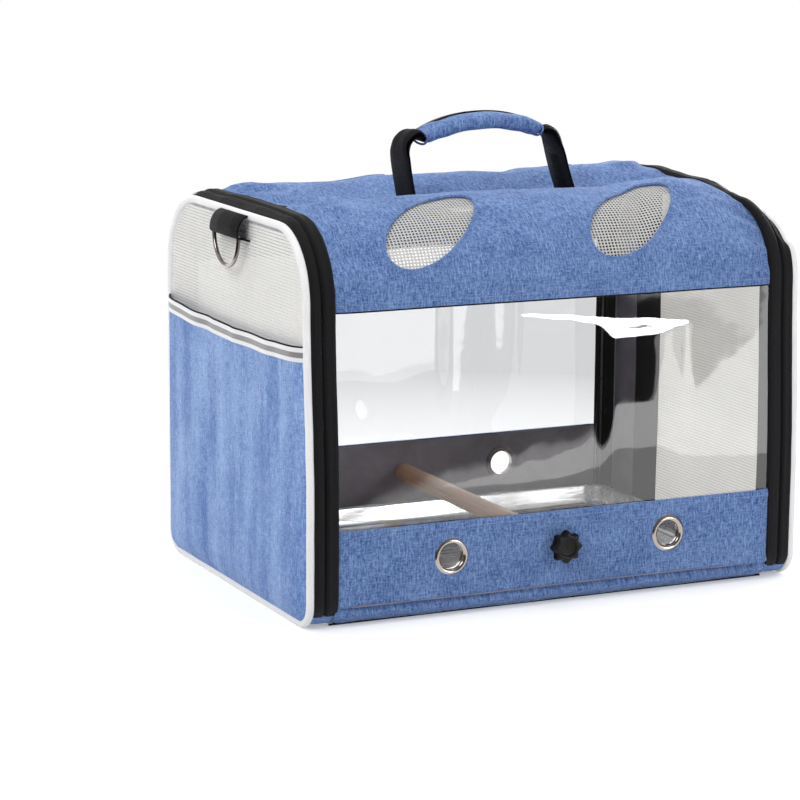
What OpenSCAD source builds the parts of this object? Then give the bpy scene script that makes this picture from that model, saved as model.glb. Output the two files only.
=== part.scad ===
// Soft-sided travel carrier for a small bird, with two zip-open ends that hinge down,
// clear front and rear windows, a wooden perch, a steel tray and a carrying handle.
// Millimetres. The origin is on the floor under the middle of the carrier.
// +X runs along the length, the front window faces -Y, and +Z is up.

/* [Overall] */
// Length over the two piped ends
length = 419; // [360:1:520]
// Width over the piping of the ends
width = 286; // [240:1:340]
// Height of the piped ends
height = 296; // [260:1:360]
// Radius of the two top corners of an end
top_corner_r = 58; // [40:1:70]
// Radius of the two bottom corners of an end
bottom_corner_r = 20; // [14:1:30]
// How far the fabric crowns rise above the piped ends at mid-length
crown_rise = 10; // [2:1:16]
// Distance of each crown's crest from the middle seam
crown_offset = 60; // [45:1:75]
// Length over which the crowns fall to each rim
crown_fall = 41; // [25:1:60]

/* [Fabric] */
// Thickness of a body panel
fabric_t = 2; // [1.2:0.1:3]
// Thickness of the lining behind the lower walls
lining_t = 1; // [0.6:0.1:1.5]
// Height of the top edge of the lower walls
band_h = 73; // [66:1:95]
// Depth of the windows' top edge below the top of the ends
window_top_down = 63; // [60:1:80]
// Thickness of the clear window sheet
window_t = 0.8; // [0.5:0.1:1.5]
// Height of the binding along a window's top edge
window_binding_h = 3; // [2:0.5:6]
// Thickness of the window binding
window_binding_t = 0.5; // [0.4:0.1:1]
// Width of the tape along the middle seam of the top
seam_tape_w = 8; // [6:0.5:10]
// Thickness of the tape along the middle seam of the top
seam_tape_t = 1; // [0.6:0.1:1.5]
// Radius of the welt along the bottom seams
welt_r = 1.6; // [1:0.1:2]

/* [Vents] */
// Length of a vent
vent_l = 108; // [80:1:112]
// Width of a vent
vent_w = 50; // [30:1:54]
// Tilt of a vent's long axis
vent_tilt = 42; // [30:1:50]
// Distance of the left vents from the middle
vent_left_x = 92; // [80:1:105]
// Distance of the right vents from the middle
vent_right_x = 78; // [65:1:105]
// How far the mesh reaches under the panel around a vent
vent_margin = 5; // [3:0.5:6]
// Thickness of the vent mesh
mesh_t = 1; // [0.6:0.1:1.6]

/* [Ends] */
// Radius of the piping round each end
piping_r = 3; // [2:0.1:4]
// Width of a zipper tape on the end
end_tape_w = 6.7; // [5:0.1:8]
// Width of a zipper tape on the body
body_tape_w = 7; // [5:0.1:10]
// Width of the closed zipper coil
coil_w = 3; // [2:0.1:4]
// Thickness of the zipper tapes
tape_t = 1.6; // [1:0.1:2.5]
// Thickness of the zipper coil
coil_t = 2; // [1.2:0.1:3]
// How far the tapes lie in from the piping's outer edge
tape_inset = 1.5; // [1:0.1:2]
// Height at which the zippers end above the floor
zip_end_h = 9; // [7:0.5:14]
// Thickness of an end's mesh panel
end_mesh_t = 1.6; // [1:0.1:2]
// Radius of the steel wire that holds each rim in shape
rim_wire_r = 1.1; // [0.8:0.1:1.5]
// Distance of the rim wire in from the inner edge of the body tape
rim_wire_in = 2.5; // [1.5:0.1:3.5]

/* [Pocket] */
// Height of the pocket's mouth
pocket_h = 207; // [150:1:212]
// How far the pocket stands off the mesh panel inside
pocket_gap = 5; // [4.6:0.1:8]
// Thickness of the pocket's fabric
pocket_t = 1.5; // [1:0.1:2]
// Distance of the pocket's edge in from the piping
pocket_margin = 3; // [1:0.5:8]
// Height of the reflective strip at the pocket's mouth
strip_h = 12; // [8:0.5:20]
// Thickness of the reflective strip
strip_t = 0.6; // [0.4:0.1:1]

/* [Rings] */
// Width of the webbing tab that holds a ring
tab_w = 48; // [25:1:52]
// Radius of the ring's wire
ring_wire_r = 1.9; // [1.5:0.1:2.5]
// How far the ring's bow reaches below its bar
ring_drop = 27.5; // [27:0.5:34]
// Height of the ring's bar below the top of the end
ring_bar_down = 17; // [14:1:26]
// Distance of the ring's bar out from the mesh panel
ring_bar_out = 8; // [6:0.1:10]
// Radius of the webbing round the ring's bar
tab_loop_r = 3.8; // [3.4:0.1:4.5]

/* [Handle] */
// Distance of each handle anchor from the middle
anchor_x = 70; // [60:1:85]
// Width of the handle webbing
webbing_w = 30; // [20:1:36]
// Thickness of the handle webbing
webbing_t = 2.6; // [1.5:0.1:3]
// Height at which the webbing flexes, above the top of the ends
flex_up = 16; // [16:1:22]
// Rise of each leg above the flex
leg_rise = 24; // [20:1:30]
// Distance of the top of each leg from the middle
leg_top_x = 64; // [60:1:66]
// Rise of the middle of the grip above the tops of the legs
grip_up = 18; // [14:1:30]
// Half length of the padded grip
grip_half = 52; // [40:1:56]
// Rise of the grip from its ends to its middle
grip_rise = 9.7; // [5:0.1:12]
// Thickness of the padded grip
grip_t = 11; // [8:0.5:16]
// Width of the padded grip
grip_w = 34; // [32:1:44]

/* [Lower wall fittings] */
// Distance of each grommet from the middle
grommet_x = 93; // [70:1:120]
// Height of the grommets and of the perch
fitting_h = 46.5; // [40:0.5:50]
// Radius of a grommet's bore
grommet_bore_r = 10; // [6:0.5:12]
// Radius of a grommet's flange
grommet_r = 14.5; // [13:0.5:18]
// Thickness of a grommet's flange
grommet_flange_t = 1.8; // [1:0.1:3]
// Thickness of a grommet's barrel wall
grommet_wall = 0.7; // [0.5:0.1:1]
// Thickness of the washer behind a grommet
grommet_washer_t = 0.8; // [0.5:0.1:1.5]
// Radius of the perch
perch_r = 7.5; // [6:0.5:9]
// Radius of the threaded inserts in the perch
insert_r = 4.6; // [4.2:0.1:5.2]
// Length of the threaded inserts in the perch
insert_l = 14; // [10:1:20]
// Radius of the knob's stud
stud_r = 3; // [2:0.1:3.5]
// How far the stud reaches into the perch
stud_reach = 11; // [6:1:13]
// Radius of the knob over its lobes
knob_r = 13; // [10:0.5:16]
// Number of lobes on the knob
knob_lobes = 8; // [5:1:10]
// Depth of the hollows between the lobes
knob_hollow = 2.2; // [1:0.1:3]
// Thickness of the knob's star
knob_t = 8; // [6:0.5:12]
// Length of the knob's boss against the wall
boss_t = 3; // [2:0.5:5]
// Radius of the knob's boss
boss_r = 7; // [5:0.5:8]
// Thickness of the washer under a knob
washer_t = 1.2; // [0.8:0.1:2]
// Radius of the washer under a knob
washer_r = 8; // [6.5:0.5:10]

/* [Floor] */
// Thickness of the base board
board_t = 3; // [2:0.5:5]
// Gap between the base board and the ends of the body
board_gap = 2; // [1:0.5:6]
// Gap between the tray's rim and each end of the body
tray_end_gap = 1.5; // [1:0.5:30]
// Gap between the tray's rim and each lining
tray_side_gap = 11.5; // [2:0.5:30]
// Depth of the tray
tray_h = 19; // [12:1:24]
// Thickness of the tray's steel
tray_t = 1; // [0.6:0.1:1.5]
// Width of the tray's flat rim
tray_rim = 2.5; // [2:0.5:8]
// Corner radius of the tray
tray_corner_r = 22; // [12:1:40]

/* [Zip sliders] */
// Height of a slider at rest
slider_h = 40; // [38:1:60]
// Width of a slider
slider_w = 9; // [7:0.5:10]
// Length of a slider
slider_l = 12; // [9:0.5:15]
// Thickness of a slider
slider_t = 2.2; // [1.5:0.1:3]
// Radius of the pin that the pull turns on
pull_pin_r = 0.9; // [0.7:0.1:1.2]
// Length of a pull below its pin
pull_l = 28; // [15:1:32]
// Width of a pull
pull_w = 7; // [5:0.5:9]
// Thickness of a pull
pull_t = 1.6; // [1:0.1:2.4]

/* [Clearances] */
// Gap between pieces that move past each other
gap = 0.3; // [0.2:0.05:0.5]
// Radial clearance of a pin that turns in its hole
pin_clear = 0.08; // [0.03:0.01:0.1]
// Radial clearance of a part that passes through a panel
hole_clear = 0.3; // [0.1:0.05:0.6]

/* [Hidden] */

denim = [0.30, 0.42, 0.65];
denim_light = [0.45, 0.56, 0.78];
ink = [0.09, 0.09, 0.10];
steel = [0.72, 0.72, 0.74];
mesh_white = [0.86, 0.85, 0.82];
clear = [0.85, 0.88, 0.92, 0.3];
lining_grey = [0.28, 0.27, 0.30];

arc_steps = 8;      // straight steps in a quarter round of the fabric outline
crown_steps = 6;    // steps from a crest down to the middle seam
hem_h = 3;          // upright stretch of a top panel above the window
fall_power = 1.8;   // how sharply the crowns fall to the rims
fall_steps = 4;     // stations along the fall
fine_grid = 0.125;  // grid of the corners that two solids share
round_fn = 48;      // segments of round fittings

// Stations along X, counted out from the middle
end_x = length / 2;
piping_x = end_x - piping_r;
door_tape_x = piping_x - piping_r;
coil_out_x = door_tape_x - end_tape_w - gap;
coil_in_x = coil_out_x - coil_w;
body_tape_x = coil_in_x;
body_x = body_tape_x - body_tape_w;
coil_x = (coil_out_x + coil_in_x) / 2;
crown_full_x = body_x - crown_fall;
mesh_out_x = piping_x + end_mesh_t / 2;
pocket_x = mesh_out_x + pocket_gap + pocket_t;

// The body's outer faces
wall_y = width / 2 - tape_inset;
rim_z = height - tape_inset;
lining_y = wall_y - fabric_t;
inner_y = lining_y - lining_t;
window_top_h = height - window_top_down;
turn_h = bottom_corner_r - tape_inset;
board_z = fabric_t;
tray_z = board_z + board_t + gap;
tray_half_l = body_x - tray_end_gap;
tray_half_w = inner_y - tray_side_gap;
seam_tape_flat = seam_tape_w / 2 + 1;
ring_bar_x = mesh_out_x + ring_bar_out;
ring_bar_z = height - ring_bar_down;
slider_y = wall_y + gap;
pull_z = slider_h - slider_l / 2 + pull_pin_r * 2;
pull_eye_r = pull_pin_r + pull_t / 2 + gap;
pull_y = slider_y + slider_t + pull_eye_r + gap;
knob_y = wall_y + washer_t + gap;

// Points on part of an ellipse
function arc_points(cy, cz, ry, rz, from, to) =
    [for (i = [0:arc_steps]) let (a = from + (to - from) * i / arc_steps)
        [cy + ry * cos(a), cz + rz * sin(a)]];

// A rounded rectangle in (y, z) with unequal top and bottom corners
function rounded_outline(half, low, high, top_r, low_r) = concat(
    arc_points(half - top_r, high - top_r, top_r, top_r, 0, 90),
    arc_points(-half + top_r, high - top_r, top_r, top_r, 90, 180),
    arc_points(-half + low_r, low + low_r, low_r, low_r, 180, 270),
    arc_points(half - low_r, low + low_r, low_r, low_r, 270, 360));

// The outline of an end, drawn in by inset from the piping's outer edge
function end_outline(inset) = rounded_outline(width / 2 - inset, inset, height - inset,
    top_corner_r - inset, bottom_corner_r - inset);

// The outline of the body, drawn in by inset from its outer face
function body_outline(inset) = rounded_outline(wall_y - inset, inset, rim_z - inset,
    top_corner_r - tape_inset - inset, bottom_corner_r - tape_inset - inset);

function mix(a, b, k) = a + (b - a) * k;

// Half of the top's section, from the window seam up and over to the middle;
// k is 0 at the rims and 1 where the crown is full
function crown_half(k, inset) = let (
    crest_y = mix(wall_y - top_corner_r + tape_inset, crown_offset, k),
    crest_z = mix(rim_z, height + crown_rise, k),
    spring_z = mix(rim_z - top_corner_r + tape_inset, window_top_h + hem_h, k),
    fall_y = crest_y - seam_tape_flat)
    concat([[wall_y - inset, window_top_h]],
        [for (i = [0:arc_steps]) let (a = 90 * i / arc_steps)
            [crest_y + (wall_y - crest_y - inset) * cos(a),
             spring_z + (crest_z - spring_z - inset) * sin(a)]],
        [for (i = [1:crown_steps]) let (s = i / crown_steps)
            [crest_y - fall_y * s,
             rim_z - inset + (crest_z - rim_z) * (1 + cos(180 * s)) / 2]],
        [[0, rim_z - inset]]);

// Closed solid through a list of rings, each an outer line and then its inner line back
module loft(rings) {
    n = len(rings[0]);
    last = (len(rings) - 1) * n;
    polyhedron(points = [for (r = rings) each r], faces = concat(
        [for (j = [0:len(rings) - 2]) for (i = [0:n - 1])
            let (a = j * n + i, b = j * n + (i + 1) % n) each [[a, a + n, b], [b, a + n, b + n]]],
        [for (i = [0:n / 2 - 2]) [i, i + 1, n - 2 - i, n - 1 - i]],
        [for (i = [0:n / 2 - 2]) [last + n - 1 - i, last + n - 2 - i, last + i + 1, last + i]]));
}

// Section of the top between two insets, in (y, z), with its corners on a fine grid
// so that neighbouring solids share them exactly
function snapped(v) = [for (c = v) round(c / fine_grid) * fine_grid];
function crown_section(k, outer, inner) = let (
    out = crown_half(k, outer), back = crown_half(k, inner), n = len(out))
    [for (i = [0:2 * n - 1]) snapped(i < n ? out[i] : back[2 * n - 1 - i])];

// Shell of the full crown between two insets; side is -1 for the front half, 1 for the rear
module crown_middle(side, outer, inner) {
    at_wall(side) along_x(-crown_full_x, crown_full_x) polygon(crown_section(1, outer, inner));
}

// Shell of the crown's falls to the two rims
module crown_falls(side, outer, inner) {
    at_wall(side) for (end = [-1, 1]) at_end(end)
        loft([for (i = [0:fall_steps]) let (t = i / fall_steps)
            [for (p = crown_section(1 - pow(t, fall_power), outer, inner))
                [crown_full_x + crown_fall * t, p[0], p[1]]]]);
}

// Extrude an outline given in (y, z) along X
module along_x(from, to) {
    translate([from, 0, 0]) rotate([90, 0, 90]) linear_extrude(height = to - from) children();
}

// Ring of an end's outline between two insets
module end_ring(from, to, outer, inner) {
    along_x(from, to) difference() {
        polygon(end_outline(outer));
        polygon(end_outline(inner));
    }
}

// Ring with a round section that follows an end's outline
module end_bead(x, inset, r, sides) {
    rings = [for (k = [0:sides - 1]) let (a = 360 * k / sides, at = x + r * sin(a))
        [for (p = end_outline(inset - r * cos(a))) [at, p[0], p[1]]]];
    n = len(rings[0]);
    polyhedron(points = [for (r = rings) each r], faces = [
        for (j = [0:sides - 1]) for (i = [0:n - 1])
            let (jn = (j + 1) % sides, ni = (i + 1) % n,
                a = j * n + i, b = j * n + ni, c = jn * n + i, d = jn * n + ni)
            each [[a, b, c], [b, d, c]]]);
}

// A block that keeps what lies above or below a height
module above(z) { translate([-length, -width, z]) cube([2 * length, 2 * width, 2 * height]); }
module below(z) { translate([-length, -width, z - height]) cube([2 * length, 2 * width, height]); }

// side 1 leaves a piece at the right end or the rear, -1 mirrors it to the left or front
module at_end(side) { mirror([side < 0 ? 1 : 0, 0, 0]) children(); }
module at_wall(side) { mirror([0, side < 0 ? 1 : 0, 0]) children(); }

// A cylinder along Y from one distance to another, at the fittings' height
module along_y(x, from, to, r) {
    translate([x, from, fitting_h]) rotate([-90, 0, 0]) cylinder(h = to - from, r = r, $fn = round_fn);
}

// ---- Body ----
// Cloth of the bottom, turned up on both sides to the seams of the lower walls
module bottom_panel() {
    color(denim) intersection() {
        along_x(-body_x, body_x) difference() {
            polygon(body_outline(0));
            polygon(body_outline(fabric_t));
        }
        below(turn_h);
    }
}

module base_board() {
    color(lining_grey) translate([-body_x + board_gap, -wall_y + bottom_corner_r, board_z])
        cube([2 * (body_x - board_gap), 2 * (wall_y - bottom_corner_r), board_t]);
}

module band(side) {
    color(denim) at_wall(side) difference() {
        translate([-body_x, lining_y, turn_h]) cube([2 * body_x, fabric_t, band_h - turn_h]);
        for (x = [-grommet_x, grommet_x])
            along_y(x, lining_y - 1, wall_y + 1, grommet_bore_r + grommet_wall);
        along_y(0, lining_y - 1, wall_y + 1, stud_r + hole_clear);
    }
}

module band_lining(side) {
    color(lining_grey) at_wall(side) difference() {
        translate([-body_x, inner_y, bottom_corner_r])
            cube([2 * body_x, lining_t, band_h - bottom_corner_r]);
        for (x = [-grommet_x, grommet_x])
            along_y(x, inner_y - 1, lining_y + 1, grommet_bore_r + grommet_wall);
        along_y(0, inner_y - 1, lining_y + 1, stud_r + hole_clear);
    }
}

module window_sheet(side) {
    color(clear) at_wall(side) translate([-body_x, wall_y - (fabric_t + window_t) / 2, band_h])
        cube([2 * body_x, window_t, window_top_h - band_h]);
}

module window_binding(side) {
    color(ink) at_wall(side) translate([-body_x, wall_y, window_top_h - window_binding_h / 2])
        cube([2 * body_x, window_binding_t, window_binding_h]);
}

module bottom_welt(side) {
    reach = (turn_h + welt_r) * sqrt(0.5);
    color(ink) at_wall(side) translate([-body_x, wall_y - turn_h + reach, turn_h - reach])
        rotate([0, 90, 0]) cylinder(h = 2 * body_x, r = welt_r, $fn = 24);
}

// Outline of a vent: an egg that is fuller at its lower end
module vent_shape(margin) {
    steps = 32;
    fullness = 0.22;
    polygon([for (i = [0:steps - 1]) let (a = 360 * i / steps)
        [(vent_l / 2 + margin) * cos(a), (vent_w / 2 + margin) * sin(a) * (1 - fullness * cos(a))]]);
}

// Prism through a vent, square to the fabric at the vent's middle
module vent_prism(side, x, margin) {
    turn = 53;
    ry = wall_y - crown_offset;
    rz = height + crown_rise - window_top_h;
    face = atan2(sin(turn) / rz, cos(turn) / ry);
    depth = 40;
    at_wall(side) mirror([0, 1, 0])
        translate([x, -crown_offset - ry * cos(turn), window_top_h + rz * sin(turn)])
            rotate([90 - face, 0, 0]) translate([0, 0, -depth * 0.7])
                linear_extrude(height = depth) rotate(vent_tilt) vent_shape(margin);
}

module top_panel(side) {
    color(denim) {
        difference() {
            crown_middle(side, 0, fabric_t);
            for (x = [-vent_left_x, vent_right_x]) vent_prism(side, x, 0);
        }
        crown_falls(side, 0, fabric_t);
    }
}

module vent_mesh(side, x) {
    color(mesh_white) intersection() {
        crown_middle(side, fabric_t, fabric_t + mesh_t);
        vent_prism(side, x, vent_margin);
    }
}

module top_seam_tape() {
    color(ink) translate([-body_x, -seam_tape_w / 2, rim_z])
        cube([2 * body_x, seam_tape_w, seam_tape_t]);
}

module body_tape(side) {
    color(ink) at_end(side) intersection() {
        end_ring(body_x, body_tape_x, tape_inset, tape_inset + tape_t);
        above(zip_end_h);
    }
}

module zip_coil(side) {
    color(ink) at_end(side) intersection() {
        end_ring(coil_in_x, coil_out_x, tape_inset + gap, tape_inset + gap + coil_t);
        above(zip_end_h);
    }
}

module rim_wire(side) {
    color(steel) at_end(side)
        end_bead(body_x + rim_wire_in, tape_inset + fabric_t + rim_wire_r, rim_wire_r, 6);
}

module hinge_strip(side) {
    color(denim_light) at_end(side) intersection() {
        end_ring(body_x, door_tape_x - gap, tape_inset, tape_inset + fabric_t);
        below(zip_end_h - gap);
    }
}

// ---- Fittings of the lower walls ----
module grommet(side, x) {
    color(steel) at_wall(side) translate([x, 0, fitting_h]) rotate([-90, 0, 0])
        rotate_extrude($fn = 96) polygon([
            [grommet_bore_r, inner_y - grommet_washer_t],
            [grommet_bore_r, wall_y + grommet_flange_t * 0.75],
            [grommet_bore_r + grommet_wall, wall_y + grommet_flange_t],
            [grommet_r - grommet_wall, wall_y + grommet_flange_t],
            [grommet_r, wall_y + grommet_flange_t * 0.6],
            [grommet_r, wall_y],
            [grommet_bore_r + grommet_wall, wall_y],
            [grommet_bore_r + grommet_wall, inner_y - grommet_washer_t]]);
}

module grommet_washers() {
    color(steel) for (side = [-1, 1]) for (x = [-grommet_x, grommet_x]) at_wall(side)
        difference() {
            along_y(x, inner_y - grommet_washer_t, inner_y, grommet_r);
            along_y(x, inner_y - 2 * grommet_washer_t, inner_y + 1, grommet_bore_r + grommet_wall);
        }
}

module perch_dowel() {
    color([0.72, 0.58, 0.44]) difference() {
        along_y(0, -inner_y, inner_y, perch_r);
        for (side = [-1, 1]) at_wall(side) along_y(0, inner_y - insert_l, inner_y + 1, insert_r);
    }
}

module perch_inserts() {
    color([0.75, 0.62, 0.32]) for (side = [-1, 1]) at_wall(side) difference() {
        along_y(0, inner_y - insert_l, inner_y, insert_r);
        along_y(0, inner_y - insert_l - 1, inner_y + 1, stud_r + pin_clear);
    }
}

module knob(side) {
    steps = 72;
    color(ink) at_wall(side) difference() {
        union() {
            along_y(0, knob_y, knob_y + boss_t, boss_r);
            translate([0, knob_y + boss_t, fitting_h]) rotate([-90, 0, 0])
                linear_extrude(height = knob_t) polygon([for (i = [0:steps - 1])
                    let (a = 360 * i / steps,
                        r = knob_r - knob_hollow * (1 - cos(knob_lobes * a)) / 2)
                    [r * cos(a), r * sin(a)]]);
        }
        along_y(0, knob_y - 1, knob_y + boss_t + knob_t / 2, stud_r);
    }
}

module knob_stud(side) {
    color(steel) at_wall(side) along_y(0, inner_y - stud_reach, knob_y + boss_t + knob_t / 2, stud_r);
}

module knob_washers() {
    color(ink) for (side = [-1, 1]) at_wall(side) difference() {
        along_y(0, wall_y, wall_y + washer_t, washer_r);
        along_y(0, wall_y - 1, wall_y + washer_t + 1, stud_r + hole_clear);
    }
}

// ---- Tray ----
module tray_shape(inset) {
    half_l = tray_half_l - inset;
    half_w = tray_half_w - inset;
    r = tray_corner_r - inset;
    polygon([for (c = [[1, 1, 0], [-1, 1, 90], [-1, -1, 180], [1, -1, 270]])
        for (i = [0:arc_steps]) let (a = c[2] + 90 * i / arc_steps)
            [c[0] * (half_l - r) + r * cos(a), c[1] * (half_w - r) + r * sin(a)]]);
}

module tray() {
    color(steel) translate([0, 0, tray_z]) difference() {
        union() {
            linear_extrude(height = tray_h) tray_shape(tray_rim);
            translate([0, 0, tray_h - tray_t]) linear_extrude(height = tray_t) tray_shape(0);
        }
        translate([0, 0, tray_t]) linear_extrude(height = tray_h) tray_shape(tray_rim + tray_t);
    }
}

// ---- Ends ----
module door_mesh(side) {
    color(mesh_white) at_end(side)
        along_x(piping_x - end_mesh_t / 2, mesh_out_x) polygon(end_outline(2 * piping_r));
}

module door_piping(side) {
    color("white") at_end(side) end_bead(piping_x, piping_r, piping_r, 12);
}

module door_tape(side) {
    color(ink) at_end(side) intersection() {
        end_ring(coil_out_x + gap, door_tape_x, tape_inset, tape_inset + tape_t);
        above(zip_end_h);
    }
}

module left_pocket() {
    edge = 2 * piping_r + pocket_margin;
    color(denim_light) at_end(-1) intersection() {
        difference() {
            along_x(mesh_out_x, pocket_x) polygon(end_outline(edge));
            along_x(mesh_out_x - 1, pocket_x - pocket_t) polygon(end_outline(edge + pocket_t));
        }
        below(pocket_h);
    }
}

module left_pocket_strip() {
    half = width / 2 - 2 * piping_r - pocket_margin;
    color([0.75, 0.76, 0.78]) translate([-pocket_x - strip_t, -half, pocket_h - strip_h])
        cube([strip_t, 2 * half, strip_h]);
}

module ring_tab(side) {
    top_z = height - 2 * piping_r;
    color(ink) at_end(side) rotate([90, 0, 0]) difference() {
        linear_extrude(height = tab_w, center = true) union() {
            polygon([[mesh_out_x, top_z], [mesh_out_x + webbing_t, top_z],
                [ring_bar_x + tab_loop_r, ring_bar_z], [ring_bar_x - tab_loop_r, ring_bar_z],
                [mesh_out_x, top_z - 2 * webbing_t]]);
            translate([ring_bar_x, ring_bar_z]) circle(r = tab_loop_r, $fn = round_fn);
        }
        translate([ring_bar_x, ring_bar_z, 0])
            cylinder(h = tab_w + 2, r = ring_wire_r + pin_clear, center = true, $fn = round_fn);
    }
}

// D-shaped ring: a straight bar in the webbing and a bow that hangs below it
module ring(side) {
    bow_r = tab_w / 2 + gap + ring_wire_r;
    straight = ring_drop - bow_r;
    color(steel) at_end(side) translate([ring_bar_x, 0, ring_bar_z]) {
        rotate([90, 0, 0]) cylinder(h = 2 * bow_r, r = ring_wire_r, center = true, $fn = round_fn);
        for (y = [-bow_r, bow_r]) translate([0, y, 0]) {
            sphere(r = ring_wire_r, $fn = round_fn);
            translate([0, 0, -straight]) cylinder(h = straight, r = ring_wire_r, $fn = round_fn);
        }
        translate([0, 0, -straight]) rotate([0, 90, 0]) rotate([0, 0, -90])
            rotate_extrude(angle = 180, $fn = 64) translate([bow_r, 0])
                circle(r = ring_wire_r, $fn = round_fn);
    }
}

// ---- Handle ----
// A strip of even thickness along points given in (x, z)
function strip_normal(p, i) = let (
    a = p[max(i - 1, 0)], b = p[min(i + 1, len(p) - 1)], d = b - a) [-d[1], d[0]] / norm(d);
function strip_side(p, off) = [for (i = [0:len(p) - 1]) p[i] + off * strip_normal(p, i)];

flex_h = height + flex_up;
leg_x = anchor_x - webbing_t - gap;
leg_low_h = flex_h - webbing_w / 2;
leg_top_h = flex_h + leg_rise;
grip_h = leg_top_h + grip_up;
grip_r = (grip_half * grip_half + grip_rise * grip_rise) / (2 * grip_rise);
grip_angle = asin(grip_half / grip_r);
grip_arc = [for (i = [-6:6]) let (a = grip_angle * i / 6)
    [grip_r * sin(a), grip_h - grip_r + grip_r * cos(a)]];
strap_line = concat([[-leg_x, leg_low_h], [-leg_x, flex_h + webbing_w / 2], [-leg_top_x, leg_top_h]],
    grip_arc, [[leg_top_x, leg_top_h], [leg_x, flex_h + webbing_w / 2], [leg_x, leg_low_h]]);

module strip(points, thickness, breadth) {
    translate([0, breadth / 2, 0]) rotate([90, 0, 0]) linear_extrude(height = breadth)
        polygon(concat(strip_side(points, thickness / 2),
            [for (i = [len(points) - 1:-1:0]) strip_side(points, -thickness / 2)[i]]));
}

// A round end of webbing about the flex line, between two distances along X
module round_end(from, to) {
    translate([from, 0, flex_h]) rotate([0, 90, 0])
        cylinder(h = to - from, r = webbing_w / 2, $fn = round_fn);
}

module handle_anchors() {
    foot = rim_z + seam_tape_t;
    near = anchor_x - webbing_t / 2;
    color(ink) for (side = [-1, 1]) at_end(side) {
        translate([near, -webbing_w / 2, foot]) cube([webbing_t, webbing_w, flex_h - foot]);
        round_end(near, near + webbing_t);
    }
}

module handle_strap() {
    color(ink) intersection() {
        strip(strap_line, webbing_t, webbing_w);
        union() {
            above(flex_h);
            round_end(-length, length);
        }
    }
}

module handle_grip() {
    color(denim) difference() {
        strip(grip_arc, grip_t, grip_w);
        strip(strap_line, webbing_t, webbing_w);
    }
}

// ---- Zip sliders, on the straight run of each zipper at the rear ----
module slider(side) {
    ear_t = (slider_w - pull_w) / 2 - gap;
    ear_h = 4 * pull_pin_r;
    color(ink) at_end(side) translate([coil_x, 0, 0]) {
        translate([-slider_w / 2, slider_y, slider_h - slider_l / 2])
            cube([slider_w, slider_t, slider_l]);
        for (x = [-slider_w / 2, slider_w / 2 - ear_t])
            translate([x, slider_y, pull_z - ear_h / 2])
                cube([ear_t, pull_y - slider_y + pull_pin_r * 1.5, ear_h]);
        translate([-slider_w / 2, pull_y, pull_z]) rotate([0, 90, 0])
            cylinder(h = slider_w, r = pull_pin_r, $fn = round_fn);
    }
}

module pull(side) {
    color(ink) at_end(side) translate([coil_x - pull_w / 2, pull_y, pull_z])
        rotate([90, 0, 90]) linear_extrude(height = pull_w) difference() {
            union() {
                circle(r = pull_eye_r, $fn = round_fn);
                translate([-pull_t / 2, -pull_l]) square([pull_t, pull_l]);
            }
            circle(r = pull_pin_r + pin_clear, $fn = round_fn);
        }
}

bottom_panel();
base_board();
band(-1);  // front_band
band(1);  // rear_band
band_lining(-1);  // front_band_lining
band_lining(1);  // rear_band_lining
window_sheet(-1);  // front_window
window_sheet(1);  // rear_window
window_binding(-1);  // front_window_binding
window_binding(1);  // rear_window_binding
bottom_welt(-1);  // front_bottom_welt
bottom_welt(1);  // rear_bottom_welt
top_panel(-1);  // front_top_panel
top_panel(1);  // rear_top_panel
vent_mesh(-1, -vent_left_x);  // front_left_vent
vent_mesh(-1, vent_right_x);  // front_right_vent
vent_mesh(1, -vent_left_x);  // rear_left_vent
vent_mesh(1, vent_right_x);  // rear_right_vent
top_seam_tape();
body_tape(-1);  // left_body_tape
body_tape(1);  // right_body_tape
zip_coil(-1);  // left_zip_coil
zip_coil(1);  // right_zip_coil
rim_wire(-1);  // left_rim_wire
rim_wire(1);  // right_rim_wire
hinge_strip(-1);  // left_hinge_strip
hinge_strip(1);  // right_hinge_strip
grommet(-1, -grommet_x);  // front_left_grommet
grommet(-1, grommet_x);  // front_right_grommet
grommet(1, -grommet_x);  // rear_left_grommet
grommet(1, grommet_x);  // rear_right_grommet
grommet_washers();
perch_dowel();
perch_inserts();
handle_anchors();
tray();
knob(-1);  // front_knob
knob(1);  // rear_knob
knob_stud(-1);  // front_knob_stud
knob_stud(1);  // rear_knob_stud
knob_washers();
door_mesh(-1);  // left_door_mesh
door_piping(-1);  // left_door_piping
door_tape(-1);  // left_door_tape
left_pocket();
left_pocket_strip();
ring_tab(-1);  // left_ring_tab
ring(-1);  // left_ring
door_mesh(1);  // right_door_mesh
door_piping(1);  // right_door_piping
door_tape(1);  // right_door_tape
ring_tab(1);  // right_ring_tab
ring(1);  // right_ring
handle_strap();
handle_grip();
slider(-1);  // left_slider
pull(-1);  // left_pull
slider(1);  // right_slider
pull(1);  // right_pull
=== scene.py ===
import math

import bmesh
import bpy
from mathutils import Matrix, Vector, noise


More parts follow.
